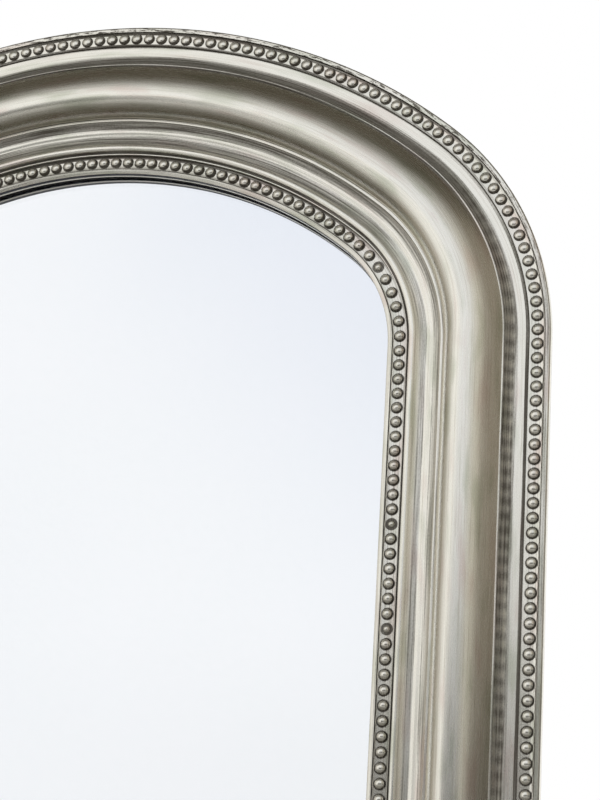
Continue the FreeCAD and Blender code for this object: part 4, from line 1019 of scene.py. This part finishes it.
def flag_material(name, colour, edges):
    """Cloth of a studio flag that thins out towards its edges: (low u, high u, low v, high v) shares."""
    material, tree = empty_material(name)
    place = add(tree, "ShaderNodeUVMap", uv_map="sheet").outputs[0]
    parts = add(tree, "ShaderNodeSeparateXYZ", {0: place}).outputs
    cover = 1.0
    for number, share in enumerate(edges):
        if share:
            inner = (1.0, 1.0 - share) if number % 2 else (0.0, share)
            cover = arithmetic(tree, "MULTIPLY", cover, ramp(tree, parts[number // 2], *inner))
    clear = add(tree, "ShaderNodeBsdfTransparent")
    cloth = add(tree, "ShaderNodeEmission", {"Color": (*colour, 1.0), "Strength": 1.0})
    mixed = add(tree, "ShaderNodeMixShader", {0: cover, 1: clear.outputs[0], 2: cloth.outputs[0]})
    add(tree, "ShaderNodeOutputMaterial", {"Surface": mixed.outputs[0]})
    return material


def add_flag(name, corners, colour, edges):
    """A dark or grey flag that only shows in the leaf's and the metal's reflections."""
    flag = plain_plane(name, corners, flag_material(name + " cloth", colour, edges))
    flag.visible_camera = False
    flag.visible_diffuse = False
    flag.visible_transmission = False
    flag.visible_shadow = False
    return flag


# The studio, in metres: the window lamp's size, its place and the point it faces
WINDOW_SIZE = (2.4, 2.0)
WINDOW_PLACE = (-2.3, -1.7, 0.75)
WINDOW_AIM = (0, 0, -0.1)
# Flags that lie: name, height, near and far edge, reach to either side, colour, and how wide each
# edge thins out, as shares. The low one hangs just over the floor
LYING_FLAGS = (
    ("overhead_flag", 1.9, (-2.9, 1.5), 3, "#4E493F", (0.15, 0.15, 0.45, 0.1)),
    ("low_flag", FOOT_Z + 5 * MM, (-2.2, 1.6), 4, "#4B463B", (0.2, 0.2, 0.6, 0.0)),
)
# Flags that stand: name, first and last end in x and y, low and high edge, colour, edges that thin
STANDING_FLAGS = (
    ("right_flag", (0.36, -2.6), (3.6, -0.52), (-0.5, 2.4), "#BDB9AD", (0.26, 0.1, 0.0, 0.2)),
    ("right_post", (1.08, -1.36), (1.9, 0.1), (-0.5, 2.2), "#7F776B", (0.1, 0.08, 0.0, 0.2)),
    ("front_flag", (-1.4, -2.4), (1.3, -2.2), (-0.6, 0.5), "#35332E", (0.33, 0.0, 0.0, 0.3)),
    ("right_low_flag", (0.95, -1.7), (1.55, 0.3), (-0.6, 0.22), "#35332E", (0.05, 0.1, 0.0, 0.36)),
    ("left_flag", (-2.6, 0.5), (-0.95, -2.05), (-0.5, 2.4), "#948D80", (0.0, 0.75, 0.0, 0.2)),
)
# The pale card in front, which the glass gives back as a soft slanting band: how far in front it
# hangs, its corners, and the cosine and the sine of its turn
CARD_PLACE = -6.0
CARD_CORNERS = ((-0.35, 4), (-0.35, -4), (5, -4), (5, 4))
CARD_TURN = (0.73, 0.68)


class MIRROR_OT_stage(bpy.types.Operator):
    """Set up the floor, the white room, the lamps, the flags and the camera"""
    bl_idname = "mirror.stage"
    bl_label = "Studio"

    def execute(self, context):
        scene = context.scene
        studio = scene.mirror_studio
        self.lay_floor()
        self.light_room(scene, studio)
        self.hang_window(studio)
        self.place_flags()
        camera = bpy.data.cameras.new("Product camera")
        camera.lens = studio.lens
        camera.sensor_width = 36
        camera.clip_start = 0.05
        camera.clip_end = 50
        holder = bpy.data.objects.new("Product camera", camera)
        holder.location = studio.camera_place
        holder.rotation_euler = studio.camera_turn
        scene.collection.objects.link(holder)
        scene.camera = holder
        scene.view_settings.view_transform = "Standard"
        return {"FINISHED"}

    def lay_floor(self):
        """A pale floor that the mirror stands on."""
        material, tree, shader, place = new_material("Pale painted floor")
        tone = field(tree, place, (300, 300, 300), 3.0)
        surface(tree, shader, blend(tree, tone, linear("#F1F0EE"), linear("#EAE9E6")), 0.7)
        reach = 6.0
        plain_plane("studio_floor", [(-reach, -reach, FOOT_Z), (reach, -reach, FOOT_Z),
                                     (reach, reach, FOOT_Z), (-reach, reach, FOOT_Z)], material)

    def light_room(self, scene, studio):
        """A white room: the camera, glass and metal see it white, and matt surfaces get its light."""
        world = bpy.data.worlds.new("White studio")
        scene.world = world
        world.use_nodes = True
        tree = world.node_tree
        tree.nodes.clear()
        rays = add(tree, "ShaderNodeLightPath")
        seen = arithmetic(tree, "MAXIMUM", rays.outputs["Is Camera Ray"], rays.outputs["Is Glossy Ray"])
        seen = arithmetic(tree, "MAXIMUM", seen, rays.outputs["Is Transmission Ray"])
        strength = ramp(tree, seen, 0.0, 1.0, studio.ambient, 1.0)
        sky = add(tree, "ShaderNodeBackground", {"Color": (1, 1, 1, 1), "Strength": strength})
        add(tree, "ShaderNodeOutputWorld", {"Surface": sky.outputs[0]})

    def hang_window(self, studio):
        """A large soft window lamp at the left front."""
        lamp = bpy.data.lights.new("Window lamp", "AREA")
        lamp.shape = "RECTANGLE"
        lamp.size, lamp.size_y = WINDOW_SIZE
        lamp.energy = studio.key * math.pi * lamp.size * lamp.size_y
        holder = bpy.data.objects.new("Window lamp", lamp)
        holder.location = WINDOW_PLACE
        aim = Vector(WINDOW_AIM) - Vector(WINDOW_PLACE)
        holder.rotation_euler = aim.to_track_quat("-Z", "Y").to_euler()
        holder.visible_glossy = False
        bpy.context.scene.collection.objects.link(holder)

    def place_flags(self):
        """Hang the dark and grey flags, and the pale card."""
        for name, height, (near, far), reach, colour, edges in LYING_FLAGS:
            add_flag(name, [(-reach, near, height), (reach, near, height), (reach, far, height),
                            (-reach, far, height)], linear(colour), edges)
        for name, first, last, (low, high), colour, edges in STANDING_FLAGS:
            add_flag(name, [(*first, low), (*last, low), (*last, high), (*first, high)],
                     linear(colour), edges)
        level, tilt = CARD_TURN
        corners = [(level * up - tilt * left, CARD_PLACE, tilt * up + level * left)
                   for up, left in CARD_CORNERS]
        card = add_flag("pale_card", corners, linear("#EEF1F8"), (0.1, 0.1, 0.28, 0.1))
        card.visible_transmission = True


PIECE_OPERATORS = [MIRROR_OT_mouldings, MIRROR_OT_beads, MIRROR_OT_glass, MIRROR_OT_backing,
                   MIRROR_OT_hangers, MIRROR_OT_buttons, MIRROR_OT_bumpers, MIRROR_OT_stage]


class MIRROR_PT_builder(bpy.types.Panel):
    """Lists the steps and the settings of the mirror"""
    bl_label = "Beaded mirror"
    bl_idname = "MIRROR_PT_builder"
    bl_space_type = "VIEW_3D"
    bl_region_type = "UI"
    bl_category = "Mirror"

    def draw(self, context):
        for operator in PIECE_OPERATORS:
            self.layout.operator(operator.bl_idname)
        for group, kind in SETTINGS.items():
            box = self.layout.box()
            for name in kind.__annotations__:
                box.prop(getattr(context.scene, group), name)


def register():
    """Register the settings, the operators and the panel."""
    for kind in [*SETTINGS.values(), *PIECE_OPERATORS, MIRROR_PT_builder]:
        bpy.utils.register_class(kind)
    for name, kind in SETTINGS.items():
        setattr(bpy.types.Scene, name, PointerProperty(type=kind))


def unregister():
    """Take the panel, the operators and the settings off again."""
    for name in SETTINGS:
        delattr(bpy.types.Scene, name)
    for kind in reversed([*SETTINGS.values(), *PIECE_OPERATORS, MIRROR_PT_builder]):
        bpy.utils.unregister_class(kind)


def main():
    """Build the mirror."""
    register()
    for operator in PIECE_OPERATORS:
        group, name = operator.bl_idname.split(".")
        getattr(getattr(bpy.ops, group), name)()


if __name__ == "__main__":
    main()
